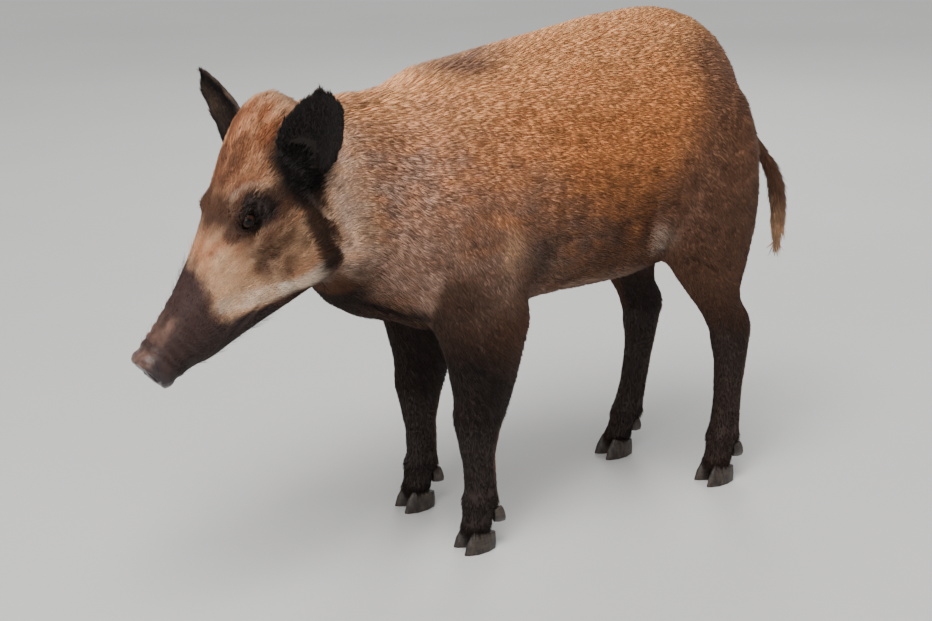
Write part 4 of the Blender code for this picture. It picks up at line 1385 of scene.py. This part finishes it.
# %% [markdown]
# ## Eyes
#
# A boar's eye is small and so dark that the pupil hardly shows. It could be a plain black
# ball, but from near the brown iris and the wet cornea give it life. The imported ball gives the
# place; a finer ball takes its room, swollen a little over the iris. Its colours are written
# from the angle off its line of sight, and the material adds the iris' fine spokes.

# %% Eyes
PUPIL, IRIS = math.radians(20), math.radians(44)
SOFT_EDGE = 0.05
BALL_BROWN, IRIS_BROWN = linear(36, 24, 20), linear(46, 26, 15)
PUPIL_BLACK, IRIS_RIM = linear(2, 1, 1), linear(14, 9, 8)
eye_material, eye_tree, eye_shader = tree_of("eye", 0.05, 0.20)
flecks = ranged(eye_tree, pattern_of(eye_tree, 1200, detail=3.0), 0.55, 1.45)
tinted(eye_tree, eye_shader, painted_colour(eye_tree, "eye_colour"), flecks)
relief(eye_tree, eye_shader, pattern_of(eye_tree, 300), 0.03, 0.0002)
for name in EYES:
    bm = bmesh.new()
    bmesh.ops.create_uvsphere(bm, u_segments=56, v_segments=36, radius=EYE_RADIUS * 0.97)
    towards = Vector(HEAD_AXES.T @ EYE_FRAMES[name][2])
    turn = towards.to_track_quat("Z", "Y").to_matrix().to_4x4()
    bmesh.ops.transform(bm, verts=bm.verts, matrix=turn)
    off_sight = np.array([vert.co.angle(towards) for vert in bm.verts])
    for vert, angle in zip(bm.verts, off_sight):
        vert.co *= 1 + 0.05 * max(0.0, 1 - (angle / IRIS) ** 2)
    bmesh.ops.translate(bm, verts=bm.verts, vec=EYE_MIDDLES[name])
    mesh = bpy.data.meshes.new(name + "_ball")
    bm.to_mesh(mesh)
    bm.free()
    ball_colour = layered(np.tile(BALL_BROWN, (len(off_sight), 1)), 0, [
        (IRIS_BROWN, step(IRIS + SOFT_EDGE, IRIS - SOFT_EDGE, off_sight), 1, 0),
        (PUPIL_BLACK, step(PUPIL + SOFT_EDGE, PUPIL - SOFT_EDGE, off_sight), 1, 0),
        (IRIS_RIM, peak(off_sight, IRIS, 0.10), 1, 0),
    ])
    write_colours(mesh, "eye_colour", ball_colour)
    ball = new_object(name + "_ball", mesh, eye_material)
    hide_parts(name)
    print(name, "looks along", tuple(round(v, 2) for v in towards))

# %% [markdown]
# ## Eyelashes
#
# The upper lid carries a row of short dark lashes, the lower lid a few. They are the bent
# tuft again, which is quicker than a curve for each lash, set along the edge of the lid's
# opening and leaning out over it.

# %% Eyelashes
LASH, LASH_WIDTH = 0.0058, 0.0005
shape = BENT_TUFT[0]
for name, place in EYE_PLACES.items():
    turn = np.concatenate([np.linspace(0.35, 2.75, 28), np.linspace(-2.3, -0.8, 12)])
    span = np.where(turn > 0, OPEN_TOP, OPEN_BOTTOM)
    a, b = OPEN_LENGTH * 1.10 * np.cos(turn), span * 1.22 * np.sin(turn)
    c = np.sqrt((EYE_RADIUS + LID) ** 2 - a**2 - b**2) - 0.0004
    root = np.stack([a, b, c], axis=1)
    slant = unit(np.stack([a * 22, np.sign(b) * 0.42 + b * 30, np.full(len(a), 0.95)], axis=1))
    slant = unit(slant + RANDOM.normal(0, 0.08, slant.shape))
    long = LASH * RANDOM.uniform(0.7, 1.1, len(a)) * np.where(turn > 0, 1, 0.55)
    across = unit(np.cross(slant, [0.0, 0.0, 1.0]))
    through = np.cross(slant, across)
    placed = root[:, None] + slant[:, None] * (long[:, None] * shape[None, :, 2])[:, :, None]
    placed += across[:, None] * (shape[None, :, 0] * LASH_WIDTH)[:, :, None]
    placed += through[:, None] * (shape[None, :, 1] * LASH_WIDTH)[:, :, None]
    placed = from_head((placed.reshape(-1, 3) @ EYE_FRAMES[name]) + place).reshape(placed.shape)
    patches = np.stack([0.1 + 0.015 * np.arange(len(a)), np.full(len(a), 0.5)], axis=1)
    colours = np.tile(BLACK, (len(a), len(shape), 1))
    lashes = joined_copies("lashes_" + name[4:], BENT_TUFT, placed, patches, colours)
    new_object("lashes_" + name[4:], lashes, hair_material)
    print("lashes:", len(a))

# %% [markdown]
# ## Claws
#
# The claws are dark horn with growth rings that run round them and paler streaks along them. A
# copy of each packed claw is merged and its edges are rounded with a bevel, and the rings and
# streaks come from the material's patterns, because cutting them into the mesh would take
# thousands of faces for lines a hair wide.

# %% Claws
HORN_DARK, HORN_PALE = linear(40, 33, 30), linear(86, 72, 60)
BEVEL = 0.0016
claw_material, claw_tree, claw_shader = tree_of("claw_horn", 0.42, 0.45)
horn_colour = add(claw_tree, "ShaderNodeMix", data_type="RGBA")
horn_colour.inputs["A"].default_value = (*HORN_DARK, 1)
horn_colour.inputs["B"].default_value = (*HORN_PALE, 1)
streaks = ranged(claw_tree, pattern_of(claw_tree, 260, (1, 1, 0.25)), -0.2, 0.7)
claw_tree.links.new(streaks, horn_colour.inputs["Factor"])
rings = ranged(claw_tree, pattern_of(claw_tree, 500, (0.12, 0.12, 1.0), 2.0), 0.65, 1.15)
tinted(claw_tree, claw_shader, horn_colour.outputs["Result"], rings)
relief(claw_tree, claw_shader, rings, 0.5, 0.0006)
for name in CLAWS:
    bm = bmesh.new()
    bm.from_mesh(NODES[name].data)
    bmesh.ops.remove_doubles(bm, verts=bm.verts, dist=1e-5)
    bmesh.ops.dissolve_limit(bm, angle_limit=0.02, verts=bm.verts, edges=bm.edges)
    sharp = [edge for edge in bm.edges if edge.calc_face_angle(0) > math.radians(28)]
    bmesh.ops.bevel(
        bm, geom=sharp, offset=BEVEL, segments=3, profile=0.5, affect="EDGES", material=-1
    )
    bmesh.ops.triangulate(bm, faces=bm.faces)
    bmesh.ops.recalc_face_normals(bm, faces=bm.faces)
    mesh = bpy.data.meshes.new(name + "_horn")
    bm.to_mesh(mesh)
    bm.free()
    horn = new_object(name + "_horn", mesh, claw_material)
    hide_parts(name)
print("claws:", len(CLAWS), " triangles each:", len(mesh.polygons))

# %% [markdown]
# ## Floor
#
# A pale plain floor runs back far behind the boar, so that nothing draws the eye from it. It
# could be curved up into a backdrop, but a flat one needs a single face. It is no piece of the
# boar.

# %% Floor
FLOOR_HALF = 30
FLOOR_TONE = (0.62, 0.61, 0.59, 1)
floor_material, floor_tree, floor_shader = tree_of("floor", 0.9, 0.2)
floor_tint = add(floor_tree, "ShaderNodeRGB")
floor_tint.outputs[0].default_value = FLOOR_TONE
clouds = ranged(floor_tree, pattern_of(floor_tree, 1.6), 0.97, 1.02)
tinted(floor_tree, floor_shader, floor_tint.outputs[0], clouds)
relief(floor_tree, floor_shader, pattern_of(floor_tree, 220), 0.25, 0.0005)
bm = bmesh.new()
bmesh.ops.create_grid(bm, x_segments=1, y_segments=1, size=FLOOR_HALF)
floor_mesh = bpy.data.meshes.new("floor")
bm.to_mesh(floor_mesh)
bm.free()
floor_mesh.materials.append(floor_material)
floor = bpy.data.objects.new("floor", floor_mesh)
bpy.context.scene.collection.objects.link(floor)
print("floor, metres:", 2 * FLOOR_HALF)

# %% [markdown]
# ## Light
#
# The boar is lit from above by a skylight so wide that its shadows are soft. A key light stands
# high in front on the boar's left, a weaker fill lower down on the same side, and a rim light
# behind on the right parts the back from the background. The skylight is kept out of
# reflections, because it would cloud the wet eye; a small lamp gives the eye its glint instead.

# %% Light
SKY_TONE, SKY_STRENGTH = (0.95, 0.97, 1.0, 1), 0.46
SKYLIGHT_STRENGTH, SKYLIGHT_WIDTH = 1.40, math.radians(50)
world = bpy.data.worlds.new("studio")
world.use_nodes = True
world.node_tree.nodes["Background"].inputs["Color"].default_value = SKY_TONE
world.node_tree.nodes["Background"].inputs["Strength"].default_value = SKY_STRENGTH
bpy.context.scene.world = world


def softbox(name, place, target, size, power):
    lamp = bpy.data.lights.new(name, "AREA")
    lamp.shape = "DISK"
    lamp.size = size
    lamp.energy = power
    holder = bpy.data.objects.new(name, lamp)
    holder.location = place
    holder.rotation_euler = (Vector(target) - Vector(place)).to_track_quat("-Z", "Y").to_euler()
    bpy.context.scene.collection.objects.link(holder)


sun = bpy.data.lights.new("skylight", "SUN")
sun.energy = SKYLIGHT_STRENGTH
sun.angle = SKYLIGHT_WIDTH
holder = bpy.data.objects.new("skylight", sun)
holder.visible_glossy = False
holder.rotation_euler = Vector((0.25, 0.35, -1.0)).to_track_quat("-Z", "Y").to_euler()
bpy.context.scene.collection.objects.link(holder)
softbox("key", (-0.9, -0.9, 3.0), (0, 0, 0.35), 1.6, 62)
softbox("fill", (-2.6, -2.4, 1.2), (0, 0, 0.3), 2.0, 24)
softbox("rim", (1.8, 2.2, 2.2), (0, 0, 0.4), 1.2, 35)
softbox("catch", (-1.56, -1.07, 1.70), (-0.36, -0.07, 0.46), 0.22, 3)
print("lights:", sorted(lamp.name for lamp in bpy.data.lights))

# %% [markdown]
# ## Camera
#
# The camera stands to the front left of the boar, a little above it, and is a trace out of
# level. It is placed by its angles and its distance from a point inside the boar, which is
# easier to change than a bare place. The lens is shifted a little, which moves the boar in the
# frame without turning the camera.

# %% Camera
AZIMUTH = math.radians(-30)
ELEVATION = math.radians(17.9)
DISTANCE = 2.03
ROLL = math.radians(-1.3)
AIM = Vector((0, 0, 0.3))
SENSOR, LENS = 36, 61.8
SHIFT_ACROSS, SHIFT_UP = -0.0317, -0.0102
away_level = (math.sin(AZIMUTH) * math.cos(ELEVATION), -math.cos(AZIMUTH) * math.cos(ELEVATION))
away = Vector((*away_level, math.sin(ELEVATION)))
camera_data = bpy.data.cameras.new("camera")
camera_data.sensor_width = SENSOR
camera_data.lens = LENS
camera_data.shift_x = SHIFT_ACROSS
camera_data.shift_y = SHIFT_UP
camera = bpy.data.objects.new("camera", camera_data)
camera.location = AIM + away * DISTANCE
turned_view = (-away).to_track_quat("-Z", "Y").to_matrix() @ Matrix.Rotation(ROLL, 3, "Z")
camera.rotation_euler = turned_view.to_euler()
bpy.context.scene.collection.objects.link(camera)
bpy.context.scene.camera = camera
print("camera at", tuple(round(value, 3) for value in camera.location))
